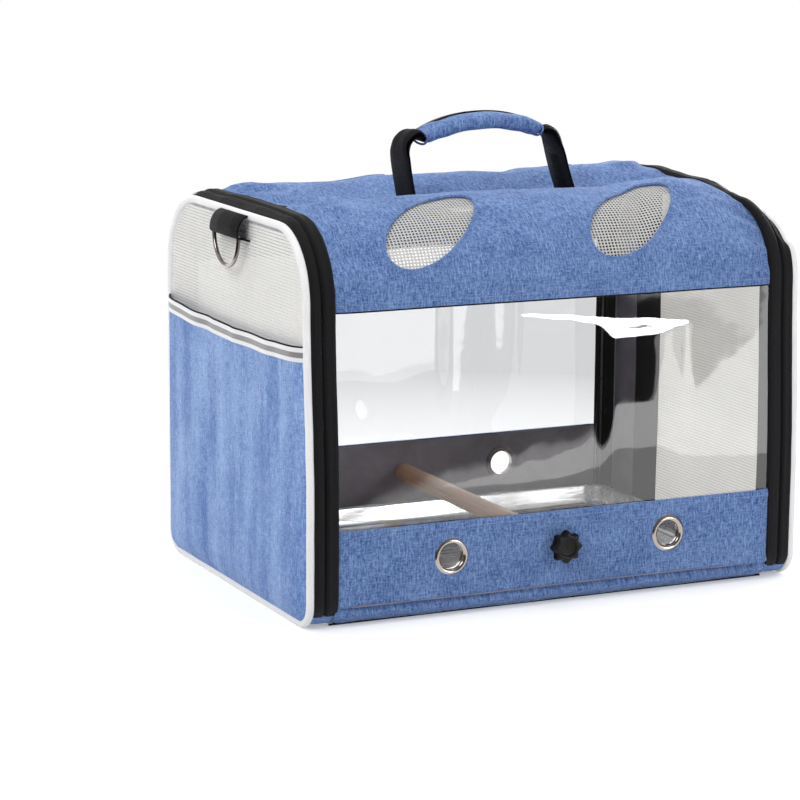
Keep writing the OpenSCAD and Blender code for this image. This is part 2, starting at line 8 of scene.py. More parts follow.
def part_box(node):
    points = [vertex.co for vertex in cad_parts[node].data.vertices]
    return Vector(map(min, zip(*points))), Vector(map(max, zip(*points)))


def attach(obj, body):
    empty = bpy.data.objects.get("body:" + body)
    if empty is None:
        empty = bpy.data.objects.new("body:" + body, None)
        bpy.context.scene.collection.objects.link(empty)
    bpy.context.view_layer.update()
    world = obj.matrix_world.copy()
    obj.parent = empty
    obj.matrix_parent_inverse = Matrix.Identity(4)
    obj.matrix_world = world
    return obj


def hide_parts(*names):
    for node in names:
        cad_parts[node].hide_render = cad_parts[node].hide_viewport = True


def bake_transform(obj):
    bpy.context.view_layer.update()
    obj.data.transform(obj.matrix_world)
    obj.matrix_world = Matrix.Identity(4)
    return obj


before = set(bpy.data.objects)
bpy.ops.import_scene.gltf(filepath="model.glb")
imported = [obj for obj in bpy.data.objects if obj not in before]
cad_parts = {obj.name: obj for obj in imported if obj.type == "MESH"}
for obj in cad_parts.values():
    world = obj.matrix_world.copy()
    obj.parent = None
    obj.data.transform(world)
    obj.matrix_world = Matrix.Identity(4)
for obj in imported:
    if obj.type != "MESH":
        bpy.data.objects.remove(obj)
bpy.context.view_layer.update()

bl_info = {
    "name": "Bird travel carrier",
    "version": (1, 0, 0),
    "blender": (4, 5, 0),
    "location": "View3D > Sidebar > Carrier",
    "description": "Fabrics, clear windows, mesh ends, zips and fittings of a small bird's travel carrier",
    "category": "Object",
}

# The carrier's stations, in metres, as its solids have them
HALF_W, TOP_Z = 0.143, 0.296            # the piped ends
TOP_R, LOW_R = 0.058, 0.020
INSET = 0.0015                          # the tapes lie in from the piping
WALL_Y, RIM_Z = 0.1415, 0.2945          # outer faces of the body
BODY_X = 0.1865                         # ends of the body's cloth
COIL_X, DOOR_TAPE_OUT = 0.195, 0.2035
PIPE_X, PIPE_R = 0.2065, 0.003
TAPE_LAP = 0.0030                       # how far the body's tapes lap over the cloth
ZIP_LOW = 0.009                         # height of the zips' ends
BAND_TOP, BAND_R = 0.073, LOW_R - INSET     # the lower walls' top edge and bottom corner
LINING_Y, LINING_TOP, LINING_L = 0.1387, 0.0722, 0.094
CROWN_FULL, CROWN_FALL = 0.1455, 0.041
CREST_Y, VALLEY_Y = 0.060, 0.0035
VALLEY_SAG = 0.0030                     # how far the middle seam sags between the crests
HEM_SHARE, CREST_SHARE = 0.016, 0.665   # shares of the top's section at the hem and at the crest
SECTION_L = 0.1836                      # length of that section
VENT_L, VENT_W, VENT_UP = 0.112, 0.051, 0.072
VENT_TILT, VENT_TAPER = math.radians(40), 0.17
NET_LAP = 0.0035                        # how far a vent's net reaches under its edge
VENTS = (("left", -0.092), ("right", 0.078))
FITTING_Z, GROMMET_X = 0.0465, 0.093
BORE_R, BARREL_Y = 0.010, 0.1378        # the grommets' bores and how deep they reach in
NET_INSET, POCKET_INSET = 0.0048, 0.0045
RING_X, RING_Z = 0.2153, 0.279
TAB_W, WEBBING_W = 0.056, 0.0345
PULL_Y, SLIDER_Y = 0.1463, 0.1418
SIDES = (("front", -1), ("rear", 1))
ENDS = (("left", -1), ("right", 1))
HEM_Z = {-1: 0.2345, 1: 0.2370}         # the top panels' hems, front and rear

# How the soft top lies: heights of the two crests along the carrier, and how far the cloth pulls each end's
# band up across it, in millimetres
CRESTS = {
    -1: ((-186, 302), (-148, 304.6), (-115, 306), (-87, 306.6), (-30, 308.2), (34, 307), (77, 306.4), (104, 309.6),
         (137, 310.8), (157, 307.8), (186, 303)),
    1: ((-186, 303), (-160, 305.4), (-94, 304.6), (-60, 308), (13, 307.6), (53, 306.2), (78, 308.6), (118, 309),
        (150, 309), (186, 308)),
}
BAND_RISE = {
    -1: ((-135, 0), (-110, 2), (-95, 3.3), (-80, 4.5), (-36, 6), (0, 6.3), (26, 6.2), (59, 5.2), (80, 5), (102, 5),
         (120, 3), (143, 0)),
    1: ((-110, 0), (-83, 1), (-63, 3), (-44, 6), (-24, 9), (0, 9), (25, 10.5), (50, 12), (80, 10), (100, 6), (120, 2),
        (143, 0)),
}
# How far the right end's rim is pressed down outside its band, from front to rear, in millimetres
RIGHT_DROP = ((-146, 0), (-139, 3), (-124, 12), (-102, 12), (-74, 8.5), (-50, 4.5), (-34, 1.2), (-24, 0))
LEAN = (0.0080, 0.0062)                 # how far the front leans in at the top, left and right
# Upper and lower edges of the pucker that hangs from each window's top seam, along the carrier, in millimetres
PUCKER_TOP = ((-50, 226), (-31, 224), (3, 221.5), (29, 218.5), (70, 216), (112, 210.5))
PUCKER_FOOT = ((-50, 225), (-31, 222), (3, 218), (29, 213.5), (47, 200), (80, 201), (108, 207.5), (114, 209))
# Upright folds of the pocket's cloth: how far each stands out, its middle and its half width
POCKET_FOLDS = ((0.0011, 0.072, 0.014), (-0.0012, 0.045, 0.012), (0.0013, -0.014, 0.013),
                (-0.0010, -0.043, 0.013), (0.0009, -0.078, 0.011))
# The handle's webbing from where it is sewn on up to the grip, and down again, (x, z)
LEFT_LEG = ((-0.0634, 0.2890), (-0.0650, 0.2990), (-0.0668, 0.3080), (-0.0688, 0.3190), (-0.0702, 0.3290),
            (-0.0704, 0.3350), (-0.0690, 0.3405), (-0.0655, 0.3446), (-0.0610, 0.3466), (-0.0570, 0.3462))
RIGHT_LEG = ((0.0525, 0.3472), (0.0575, 0.3450), (0.0608, 0.3415), (0.0630, 0.3370), (0.0652, 0.3290),
             (0.0680, 0.3190), (0.0712, 0.3090), (0.0746, 0.2990), (0.0766, 0.2890))
LENGTHWISE = Matrix.Rotation(math.pi / 2, 3, "Y")   # turns a rod to lie along the carrier

# The photo's camera: where it stands, which way it looks and how far it leans over
CAMERA_AT = (-1.027994, -2.023029, 0.571945)
CAMERA_LOOK = (0.42057207, 0.88707679, -0.1902995)
CAMERA_LEAN = 0.007885
VEIL_TURN = math.radians(25.8)          # turns the card that the front window mirrors as a veil


# ---- Sizes and colours that a user may change ----

def length(name, text, value):
    return bpy.props.FloatProperty(name=name, description=text, default=value, unit="LENGTH", precision=4)


def power(name, text, value):
    return bpy.props.FloatProperty(name=name, description=text, default=value, unit="POWER")


def colour(name, text, *value):
    return bpy.props.FloatVectorProperty(
        name=name, description=text, default=value, size=3, min=0.0, max=1.0, subtype="COLOR")


class CarrierSizes(bpy.types.PropertyGroup):
    mesh_pitch: length("Mesh pitch", "Distance between the threads of the mesh panels", 0.0024)
    mesh_thread: length("Mesh thread", "Width of a thread of the mesh panels", 0.0009)
    vent_pitch: length("Vent pitch", "Distance between the threads of the vents", 0.0028)
    mouth_sag: length("Mouth sag", "How far the pocket's mouth hangs at its middle", 0.0035)
    pocket_stand: length("Pocket stand", "How far the pocket stands off the mesh", 0.0058)
    strip: length("Reflective strip", "Width of the strip along the pocket's mouth", 0.0105)
    fold: length("Wall fold", "Height of the fold along the lower walls", 0.0135)
    window_wave: length("Window wave", "How far the clear sheets stand out of true", 0.0012)
    stitch: length("Stitch", "Length of a stitch", 0.0028)
    grip_swell: length("Grip swell", "How far the padded grip may swell", 0.0012)


class CarrierColours(bpy.types.PropertyGroup):
    denim_dark: colour("Denim, dark yarn", "The dark yarn of the body's cloth", 0.019, 0.070, 0.250)
    denim_light: colour("Denim, light yarn", "The light yarn of the body's cloth", 0.250, 0.385, 0.690)
    pocket_dark: colour("Pocket, dark yarn", "The dark yarn of the pocket's cloth", 0.080, 0.170, 0.450)
    pocket_light: colour("Pocket, light yarn", "The light yarn of the pocket's cloth", 0.340, 0.485, 0.780)
    lining: colour("Lining", "The grey cloth inside the lower walls", 0.420, 0.380, 0.412)
    tape: colour("Tape", "The black zip tapes and bindings", 0.0075, 0.0072, 0.0086)
    webbing: colour("Webbing", "The black webbing of the handle and tabs", 0.0080, 0.0078, 0.0092)
    mesh: colour("Mesh", "The pale mesh of the ends and vents", 0.85, 0.84, 0.815)
    piping: colour("Piping", "The white piping round the ends", 0.84, 0.84, 0.85)
    nickel: colour("Nickel", "The plated grommets and rings", 0.28, 0.25, 0.235)
    steel: colour("Steel", "The tray's sheet steel", 0.84, 0.84, 0.84)
    wood: colour("Wood", "The perch", 0.90, 0.55, 0.34)
    plastic: colour("Plastic", "The black moulded knobs", 0.0022, 0.0022, 0.0026)
    reflective: colour("Reflective", "The grey line of the pocket's strip", 0.215, 0.205, 0.215)


class CarrierStage(bpy.types.PropertyGroup):
    key: power("Key light", "Power of the soft light at the left", 30.0)
    top: power("Top light", "Power of the wide light overhead", 15.0)
    fill: power("Fill light", "Power of the soft light at the front", 12.0)
    right: power("Right light", "Power of the light behind the right end", 25.0)
    rear: power("Rear light", "Power of the light behind the carrier", 15.0)
    sky: bpy.props.FloatProperty(name="Surroundings", description="Strength of the pale surroundings", default=0.85)
    lens: bpy.props.FloatProperty(name="Lens", description="Focal length of the camera", default=130.604, unit="CAMERA")


# ---- Shapes of the carrier ----

def mix(a, b, k):
    return a + (b - a) * k


def clamp01(t):
    """t kept from 0 to 1."""
    return min(max(t, 0.0), 1.0)


def ease(t):
    t = clamp01(t)
    return t * t * (3 - 2 * t)


def ripple(x, y=0.0, z=0.0):
    return noise.noise(Vector((x, y, z)))


def hump(x, middle, half):
    return math.exp(-((x - middle) / half) ** 2)


def circle(count):
    """Angles evenly round a circle."""
    return [math.tau * i / count for i in range(count)]


def spread(low, high, count):
    """Places evenly from low to high, both with it."""
    return [mix(low, high, i / (count - 1)) for i in range(count)]


def corner(cy, cz, r, start, end, steps=20):
    turns = [math.radians(mix(start, end, i / steps)) for i in range(steps + 1)]
    return [(cy + r * math.cos(a), cz + r * math.sin(a), math.cos(a), math.sin(a)) for a in turns]


def end_track(inset, low=None, under=False):
    """Corners (y, z, outward y, outward z) round an end. With low, only what lies above that height, or under it."""
    top_r, low_r = TOP_R - inset, LOW_R - inset
    y1, z1 = HALF_W - TOP_R, TOP_Z - TOP_R
    y0, z0 = HALF_W - LOW_R, LOW_R
    dip = -90 if low is None else math.degrees(math.asin((low - z0) / low_r))
    if under:
        return corner(-y0, z0, low_r, 180 - dip, 270) + corner(y0, z0, low_r, 270, 360 + dip)
    top = corner(y1, z1, top_r, 0, 90) + corner(-y1, z1, top_r, 90, 180)
    return corner(y0, z0, low_r, dip, 0) + top + corner(-y0, z0, low_r, 180, 180 - dip)


def rounded(corners, steps):
    """A smooth line through corners (x, z), with steps points from each to the next."""
    out = []
    for i in range(len(corners) - 1):
        a, b, c, d = (corners[min(max(i + k, 0), len(corners) - 1)] for k in (-1, 0, 1, 2))
        for j in range(steps):
            t = j / steps
            out.append(tuple(0.5 * (2 * q + (r - p) * t + (2 * p - 5 * q + 4 * r - s) * t * t
                                    + (3 * q - p - 3 * r + s) * t ** 3) for p, q, r, s in zip(a, b, c, d)))
    return out + [corners[-1]]


def evenly(track, count, closed=False):
    """The track's corners spaced evenly along it."""
    if closed:
        track = track + track[:1]
    runs = [0.0]
    for a, b in zip(track, track[1:]):
        runs.append(runs[-1] + math.dist(a[:2], b[:2]))
    out, k = [], 0
    for i in range(count + 1):
        at = runs[-1] * i / count
        while k < len(runs) - 2 and runs[k + 1] < at:
            k += 1
        span = runs[k + 1] - runs[k]
        t = (at - runs[k]) / span if span else 0.0
        out.append(tuple(mix(p, q, t) for p, q in zip(track[k], track[k + 1])))
    return out


def reach_y(z, inset):
    """Half the width of an end at a height."""
    for centre_z, r, above in ((TOP_Z - TOP_R, TOP_R, True), (LOW_R, LOW_R, False)):
        if (z > centre_z) == above:
            rise = min(abs(z - centre_z), r - inset)
            return HALF_W - r + math.sqrt((r - inset) ** 2 - rise ** 2)
    return HALF_W - inset


def reach_z(y, inset):
    """Lowest and highest point of an end at a distance from the middle."""
    y = abs(y)
    ends = []
    for r in (LOW_R, TOP_R):
        out = min(max(y - (HALF_W - r), 0.0), r - inset)
        ends.append(math.sqrt((r - inset) ** 2 - out ** 2))
    return LOW_R - ends[0], TOP_Z - TOP_R + ends[1]


def between(table, at):
    """The value of a table of pairs at a place, eased from one pair to the next."""
    for (a, low), (b, high) in zip(table, table[1:]):
        if at < b:
            return mix(low, high, ease((at - a) / (b - a)))
    return table[-1][1]


def table_m(table, at):
    """A table in millimetres, read in metres."""
    return between(table, at * 1000) / 1000


def pulled_up(point, part):
    """A point near an end, lifted by its part of what the cloth pulls the band up."""
    point.z += part * table_m(BAND_RISE[1 if point.x > 0 else -1], point.y) * ease((point.z - 0.255) / 0.035)
    return point


def leaned(point):
    """A point of the soft body, drawn in as the front leans back towards its top."""
    front = max(-point.y / HALF_W, 0.0) ** 1.5
    draw = mix(*LEAN, (point.x + 0.2) / 0.4) * front * ease((point.z - 0.09) / 0.15)
    drop = table_m(RIGHT_DROP, point.y) * ease((point.x - 0.188) / 0.017) * ease((point.z - 0.215) / 0.06)
    return Vector((point.x, point.y + draw, point.z - drop))


def end_share(x):
    """How much of the crown is gone: 0 along the middle, 1 at the ends of the body."""
    return clamp01((abs(x) - CROWN_FULL) / CROWN_FALL)


def valley_z(far):
    """Height of the middle seam."""
    return RIM_Z - VALLEY_SAG * (1 - far)


def crown(side, x, q, inset=0.0):
    """A point of a top panel. q goes from 0 at the window over the crest to 1 at the middle seam."""
    far = end_share(x)
    k = 1 - far ** 3.2
    crest_y = mix(WALL_Y - TOP_R + INSET, CREST_Y, k)
    crest_z = mix(RIM_Z, table_m(CRESTS[side], x), k)
    spring_z = mix(RIM_Z - TOP_R + INSET, HEM_Z[side] + 0.003, k)
    inset += 0.0014 * ease((abs(x) - 0.174) / 0.006)
    if side < 0:
        inset += 0.0034 * ease((x - 0.150) / 0.028) * hump(q, 0.42, 0.28)
    hold = ease(q / 0.12) * ease((1 - q) / 0.1)
    puckers = 0.0016 * far * (1 - far) * 4 * (
        math.sin(q * 47 + 2 * ripple(q * 5, side, x)) + 1.2 * ripple(q * 16, x * 30, side))
    inset -= hold * (puckers + 0.0011 * ripple(x * 17, q * 3.2, side * 3.0) + 0.0005 * ripple(x * 60, q * 9, side))
    if q < HEM_SHARE:
        hem = HEM_Z[side] + 0.0008 * ripple(x * 9, side * 4.0)
        y, z = WALL_Y - inset, mix(hem, spring_z, q / HEM_SHARE)
    elif q < CREST_SHARE:
        a = math.pi / 2 * (q - HEM_SHARE) / (CREST_SHARE - HEM_SHARE)
        y = crest_y + (WALL_Y - crest_y - inset) * math.cos(a)
        z = spring_z + (crest_z - spring_z - inset) * math.sin(a)
    else:
        t = (q - CREST_SHARE) / (1 - CREST_SHARE)
        y = mix(crest_y, VALLEY_Y, t)
        z = valley_z(far) - inset + (crest_z - valley_z(far)) * (1 + math.cos(math.pi * t)) / 2
    return pulled_up(Vector((x, side * y, z)), far * far)


def vent_edge(middle, turn, grow=0.0):
    """A point (x, run up from the window) on a vent's edge."""
    lean, across = math.cos(VENT_TILT), math.sin(VENT_TILT)
    a = (VENT_L / 2 + grow) * math.cos(turn)
    b = (VENT_W / 2 + grow) * math.sin(turn) * (1 - VENT_TAPER * math.cos(turn))
    return middle + a * lean - b * across, VENT_UP + a * across + b * lean


def vent_depth(middle, x, run):
    """1 on a vent's edge, less inside it, and the turn there."""
    lean, across = math.cos(VENT_TILT), math.sin(VENT_TILT)
    dx, dr = x - middle, run - VENT_UP
    a = (dx * lean + dr * across) / (VENT_L / 2)
    b = (dr * lean - dx * across) / (VENT_W / 2)
    turn = math.atan2(b, a)
    for _ in range(3):
        turn = math.atan2(b / (1 - VENT_TAPER * math.cos(turn)), a)
    return math.hypot(a, b / (1 - VENT_TAPER * math.cos(turn))), turn


# ---- Making meshes ----

def grid_into(bm, columns, rows, place, size=(1.0, 1.0)):
    """Adds a grid moved by place(u, v), with u and v from 0 to 1, and lays its UVs out at size."""
    layer = bm.loops.layers.uv.verify()
    made = bmesh.ops.create_grid(bm, x_segments=columns, y_segments=rows, size=0.5)["verts"]
    faces = {face for vert in made for face in vert.link_faces}
    for face in faces:
        for loop in face.loops:
            loop[layer].uv = ((loop.vert.co.x + 0.5) * size[0], (loop.vert.co.y + 0.5) * size[1])
    for vert in made:
        vert.co = place(clamp01(vert.co.x + 0.5), clamp01(vert.co.y + 0.5))
    return made


def moved_grid(columns, rows, place, size=(1.0, 1.0), shut=False):
    bm = bmesh.new()
    grid_into(bm, columns, rows, place, size)
    if shut:
        close_up(bm)
    return bm


def close_up(bm):
    """Joins edges that meet, fills open ends and turns the faces outwards."""
    bmesh.ops.remove_doubles(bm, verts=bm.verts, dist=2e-6)
    bmesh.ops.dissolve_degenerate(bm, edges=bm.edges, dist=1e-7)
    open_edges = [edge for edge in bm.edges if len(edge.link_faces) == 1]
    if open_edges:
        bmesh.ops.holes_fill(bm, edges=open_edges, sides=0)
    bmesh.ops.recalc_face_normals(bm, faces=bm.faces)


def face_away(bm, inside):
    """Turns an open sheet's faces away from a point behind it."""
    bm.normal_update()
    if sum(face.normal.dot(face.calc_center_median() - inside) * face.calc_area() for face in bm.faces) < 0:
        bmesh.ops.reverse_faces(bm, faces=bm.faces)


def sweep_into(bm, points, section, across, closed=False, size=None):
    """Carries a ring (a, b) along points: a goes along the axis across, b square to it and to the path.
    section is the ring, or gives it at a share t of the way."""
    n = len(points)
    columns = n if closed else n - 1
    ring_at = section if callable(section) else lambda t: section
    ring = ring_at(0.0)
    across = Vector(across).normalized()
    frames = []
    for i in range(n):
        back = points[(i - 1) % n] if closed else points[max(i - 1, 0)]
        ahead = points[(i + 1) % n] if closed else points[min(i + 1, n - 1)]
        way = (ahead - back).normalized()
        side = (across - way * across.dot(way)).normalized()
        frames.append((side, way.cross(side)))

    def place(u, v):
        i, j = round(u * columns) % n, round(v * len(ring)) % len(ring)
        a, b = ring_at(i / columns)[j]
        return points[i] + frames[i][0] * a + frames[i][1] * b
    if size is None:
        run = sum((q - p).length for p, q in zip(points, points[1:]))
        size = (run, sum(math.dist(ring[j], ring[j - 1]) for j in range(len(ring))))
    return grid_into(bm, columns, len(ring), place, size)


def swept(points, section, across, closed=False, size=None):
    bm = bmesh.new()
    sweep_into(bm, points, section, across, closed, size)
    close_up(bm)
    return bm


def rod_into(bm, at, turn, radius, run, sides):
    """Adds a short rod, turned and set at its place."""
    made = bmesh.ops.create_cone(
        bm, cap_ends=True, segments=sides, radius1=radius, radius2=radius, depth=run)["verts"]
    bmesh.ops.rotate(bm, verts=made, cent=(0, 0, 0), matrix=turn)
    bmesh.ops.translate(bm, verts=made, vec=at)


def plate_into(bm, size, taper, lower, at, round_off, segments):
    """Adds a rounded plate, drawn in at its lower or upper end."""
    made = bmesh.ops.create_cube(bm, size=1.0)["verts"]
    bmesh.ops.scale(bm, verts=made, vec=size)
    for vert in made:
        if (vert.co.z < 0) == lower:
            vert.co.x *= taper
    bmesh.ops.translate(bm, verts=made, vec=at)
    edges = list(dict.fromkeys(edge for vert in made for edge in vert.link_edges))
    bmesh.ops.bevel(bm, geom=edges, offset=round_off,
                    segments=segments, affect="EDGES", profile=0.5, material=-1)


def round_ring(r, sides=12, r2=None):
    return [(r * math.cos(a), (r2 or r) * math.sin(a)) for a in circle(sides)]


def flat_ring(width, thickness, edge=3):
    """Section of a flat strap with rounded edges."""
    w, t = width / 2 - thickness / 2, thickness / 2
    ring = []
    for start, centre in ((-90, w), (90, -w)):
        for i in range(edge + 1):
            a = math.radians(start + 180 * i / edge)
            ring.append((centre + t * math.cos(a), t * math.sin(a)))
    for k, (a, b) in ((edge + 1, (w, t)), (2 * edge + 3, (-w, -t))):
        ring[k:k] = [(a * (1 - 2 * j / 4), b) for j in (1, 2, 3)]
    return ring


def turned(profile, centre, axis_side, around=64):
    """A shape turned about an axis along Y, from a closed profile of (radius, y)."""
    n = len(profile)

    def place(u, v):
        r, y = profile[round(v * n) % n]
        a = math.tau * u
        return Vector((centre[0] + r * math.cos(a), axis_side * y, centre[1] + r * math.sin(a)))
    return moved_grid(around, n, place, (0.09, 0.02), shut=True)


def settle(obj):
    """Applies an object's modifiers."""
    if obj.modifiers:
        view = bpy.context.evaluated_depsgraph_get()
        made = bpy.data.meshes.new_from_object(obj.evaluated_get(view))
        obj.modifiers.clear()
        old, obj.data = obj.data, made
        bpy.data.meshes.remove(old)


def piece(name, bm, material, body, replaces=(), wall=0.0, inward=True, sharp=38, inside=None, blended=None):
    """Makes a finished object of a bmesh: its wall, shading, finish and body."""
    for vert in bm.verts:
        vert.co = leaned(vert.co)
    if inside is not None:
        face_away(bm, Vector(inside))
    mesh = bpy.data.meshes.new(name)
    bm.to_mesh(mesh)
    bm.free()
    obj = bpy.data.objects.new(name, mesh)
    bpy.context.scene.collection.objects.link(obj)
    mesh.materials.append(finish(material))
    if wall:
        thick = obj.modifiers.new("wall", "SOLIDIFY")
        thick.thickness, thick.offset = wall, -1.0 if inward else 1.0
        settle(obj)
    finish_shading(obj, sharp)
    if replaces:
        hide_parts(*replaces)
    if blended:
        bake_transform(obj)
    elif body:
        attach(obj, body)
    return obj


def finish_shading(obj, sharp=38):
    for polygon in obj.data.polygons:
        polygon.use_smooth = True
    obj.data.set_sharp_from_angle(angle=math.radians(sharp))


def cut_openings(bm, depth):
    """Takes the faces out where depth(vertex place) is under 1 and moves the rim onto the edge.
    depth gives (depth, place on the edge)."""
    gone = [face for face in bm.faces if depth(face.calc_center_median())[0] < 1]
    bmesh.ops.delete(bm, geom=gone, context="FACES")
    for vert in bm.verts:
        if vert.is_boundary:
            near, edge = depth(vert.co)
            if near < 1.35:
                vert.co = edge


# ---- Materials ----

class Recipe:
    """Lays out the nodes of one material."""

    def __init__(self, name):
        self.material = bpy.data.materials.new(name)
        self.material.use_nodes = True
        self.tree = self.material.node_tree
        self.tree.nodes.clear()

    def add(self, kind, inputs=None, **settings):
        made = self.tree.nodes.new(kind)
        for key, value in settings.items():
            setattr(made, key, value)
        for key, value in (inputs or {}).items():
            if isinstance(value, bpy.types.NodeSocket):
                self.tree.links.new(value, made.inputs[key])
            else:
                made.inputs[key].default_value = value
        return made

    def coords(self, scale=(1, 1, 1), source="Object"):
        at = self.add("ShaderNodeTexCoord").outputs[source]
        return self.add("ShaderNodeMapping", {0: at, 3: scale}).outputs[0]

    def axes(self, source="Object"):
        return self.add("ShaderNodeSeparateXYZ", {0: self.coords((1, 1, 1), source)}).outputs

    def noise(self, grains, detail, roughness, source="Object"):
        """Noise of so many grains a metre, the same along each axis or one number for each."""
        scale = (grains,) * 3 if isinstance(grains, int) else grains
        return self.add("ShaderNodeTexNoise", {"Vector": self.coords(scale, source), "Scale": 1.0, "Detail": detail,
                                               "Roughness": roughness}).outputs["Fac"]

    def math(self, operation, a, b=0.5, clamp=False):
        return self.add("ShaderNodeMath", {0: a, 1: b}, operation=operation, use_clamp=clamp).outputs[0]

    def total(self, first, *others):
        for value in others:
            first = self.math("ADD", first, value)
        return first

    def times(self, a, b):
        return self.math("MULTIPLY", a, b)

    def wave(self, value, pitch):
        return self.math("SINE", self.times(value, math.tau / pitch))

    def span(self, value, low, high, to_low=0.0, to_high=1.0):
        return self.add("ShaderNodeMapRange", {0: value, 1: low, 2: high, 3: to_low, 4: to_high},
                        clamp=True).outputs[0]

    def around(self, noise_, low=0.0, high=1.0):
        """The middle range of a noise, spread from low to high."""
        return self.span(noise_, 0.3, 0.7, low, high)

    def mix(self, factor, a, b, blend="MIX"):
        made = self.add("ShaderNodeMix", {0: factor, 6: a, 7: b}, data_type="RGBA", blend_type=blend)
        return made.outputs[2]

    def bump(self, height, distance, strength=0.5, normal=None):
        inputs = {"Height": height, "Distance": distance, "Strength": strength}
        if normal is not None:
            inputs["Normal"] = normal
        return self.add("ShaderNodeBump", inputs).outputs[0]

    def surface(self, colour, roughness=0.6, normal=None, **fixed):
        inputs = {"Base Color": colour, "Roughness": roughness}
        if normal is not None:
            inputs["Normal"] = normal
        inputs.update({key.replace("_", " "): value for key, value in fixed.items()})
        return self.add("ShaderNodeBsdfPrincipled", inputs).outputs[0]

    def dot(self, vector, way):
        return self.add("ShaderNodeVectorMath", {0: vector, 1: way}, operation="DOT_PRODUCT").outputs["Value"]

    def glow(self, strength):
        return self.add("ShaderNodeEmission", {"Color": (1, 1, 1, 1), "Strength": strength}).outputs[0]

    def either(self, factor, a, b):
        return self.add("ShaderNodeMixShader", {0: factor, 1: a, 2: b}).outputs[0]

    def done(self, shader):
        self.add("ShaderNodeOutputMaterial", {"Surface": shader})
        return self.material


def rgba(values, k=1.0):
    return (values[0] * k, values[1] * k, values[2] * k, 1.0)


def heather(name, dark, light, source="UV", streaks=0.0):
    """Two-tone woven cloth: short light slubs along and across, specks of single yarns and softer patches."""
    r = Recipe(name)
    across = r.noise((190, 780, 780), 2, 0.6, source)
    along = r.noise((780, 170, 170), 2, 0.6, source)
    specks = r.noise(640, 2, 0.7, source)
    slub_a = r.span(r.noise((75, 800, 800), 2, 0.5, source), 0.58, 0.70)
    slub_b = r.span(r.noise((800, 60, 60), 2, 0.5, source), 0.58, 0.70)
    patch = r.noise(30, 4, 0.6, source)
    axes = r.axes(source)
    checks = r.times(r.wave(axes[0], 0.00085), r.wave(axes[1 if source == "UV" else 2], 0.00085))
    parts = [(across, 0.70), (along, 1.20), (specks, 0.8), (slub_a, 0.12), (slub_b, 0.32), (patch, 0.6),
             (checks, 0.05)]
    if streaks:
        parts.append((r.noise((34, 5, 5), 3, 0.55, source), streaks))
    tone = r.total(*(r.times(value, weight) for value, weight in parts))
    middle = 0.5 * (0.70 + 1.2 + 0.8 + 0.6 + streaks) + 0.04
    cloth = r.mix(r.span(tone, middle - 0.40, middle + 0.40), rgba(dark), rgba(light))
    height = r.total(r.times(checks, 0.5), slub_a, slub_b, specks)
    return r.done(r.surface(cloth, r.around(patch, 0.78, 0.9), r.bump(height, 0.00025, 0.6),
                            Sheen_Weight=0.10, Sheen_Roughness=0.5, Specular_IOR_Level=0.2))


def plain_weave(name, tone, pitch=0.0011, rough=0.75, vary=0.25, sheen=0.1, gloss=0.3):
    """Plain cloth or tape in one colour, ribbed at a pitch."""
    r = Recipe(name)
    axes = r.axes()
    ribs = r.total(r.wave(axes[0], pitch), r.wave(r.total(axes[1], axes[2]), pitch))
    patch, fibre = r.noise(55, 4, 0.6), r.noise(900, 2, 0.6)
    # The ribs also lighten the cloth a little on their crowns and darken it in their hollows: painted shade of the
    # weave.
    shade = r.total(r.span(patch, 0.25, 0.75, -vary, vary), r.around(fibre, -vary / 2, vary / 2),
                    r.times(ribs, vary / 5))
    return shaded(r, shade, tone, 0.55, 1.5, r.around(patch, rough - 0.06, rough + 0.06),
                  r.bump(r.total(ribs, r.times(fibre, 0.8)), 0.00012, 0.6),
                  Sheen_Weight=sheen, Sheen_Roughness=0.4, Specular_IOR_Level=gloss)


def shaded(r, shade, tone, dark, light, rough, normal, **fixed):
    """Ends a cloth whose tone goes from dark to light as shade goes from -0.5 to 0.5."""
    cloth = r.mix(r.math("ADD", shade, 0.5, True), rgba(tone, dark), rgba(tone, light))
    return r.done(r.surface(cloth, rough, normal, **fixed))


def strap_weave(name, tone):
    """Heavy webbing: chevron ribs along the strap, painted lighter on their crowns and darker in their hollows as
    painted shade.
    """
    r = Recipe(name)
    axes = r.axes("UV")
    along = r.times(axes[0], math.tau / 0.0016)
    over = r.times(r.math("PINGPONG", axes[1], 0.0024), math.tau / 0.0034)
    ribs = r.math("SINE", r.total(along, over))
    fibre, patch = r.noise(700, 3, 0.6), r.noise(60, 3, 0.6)
    # The ribs' crowns are painted lighter and their hollows darker: painted shade of the ribs.
    shade = r.total(r.span(ribs, -1, 1, -0.22, 0.22), r.around(fibre, -0.15, 0.15), r.around(patch, -0.12, 0.12))
    return shaded(r, shade, tone, 0.4, 1.9, 0.68, r.bump(r.total(ribs, fibre), 0.00025, 0.7),
                  Sheen_Weight=0.01, Sheen_Roughness=0.4, Specular_IOR_Level=0.1)


def netting(name, tone):
    """Plastic-coated yarn of the mesh: light shines through it at the right end, less at the left."""
    r = Recipe(name)
    fibre, patch = r.noise(420, 3, 0.6), r.noise(22, 2, 0.5)
    shade = r.total(r.around(fibre, -0.3, 0.3), r.around(patch, -0.2, 0.2))
    yarn = r.mix(r.math("ADD", shade, 0.5, True), rgba(tone, 0.93), rgba(tone, 1.05))
    front = r.surface(yarn, 0.55, r.bump(fibre, 0.00008, 0.4), Specular_IOR_Level=0.4)
    through = r.add("ShaderNodeBsdfTranslucent", {"Color": yarn}).outputs[0]
    return r.done(r.either(r.span(r.axes()[0], 0.15, 0.20, 0.10, 0.76), front, through))


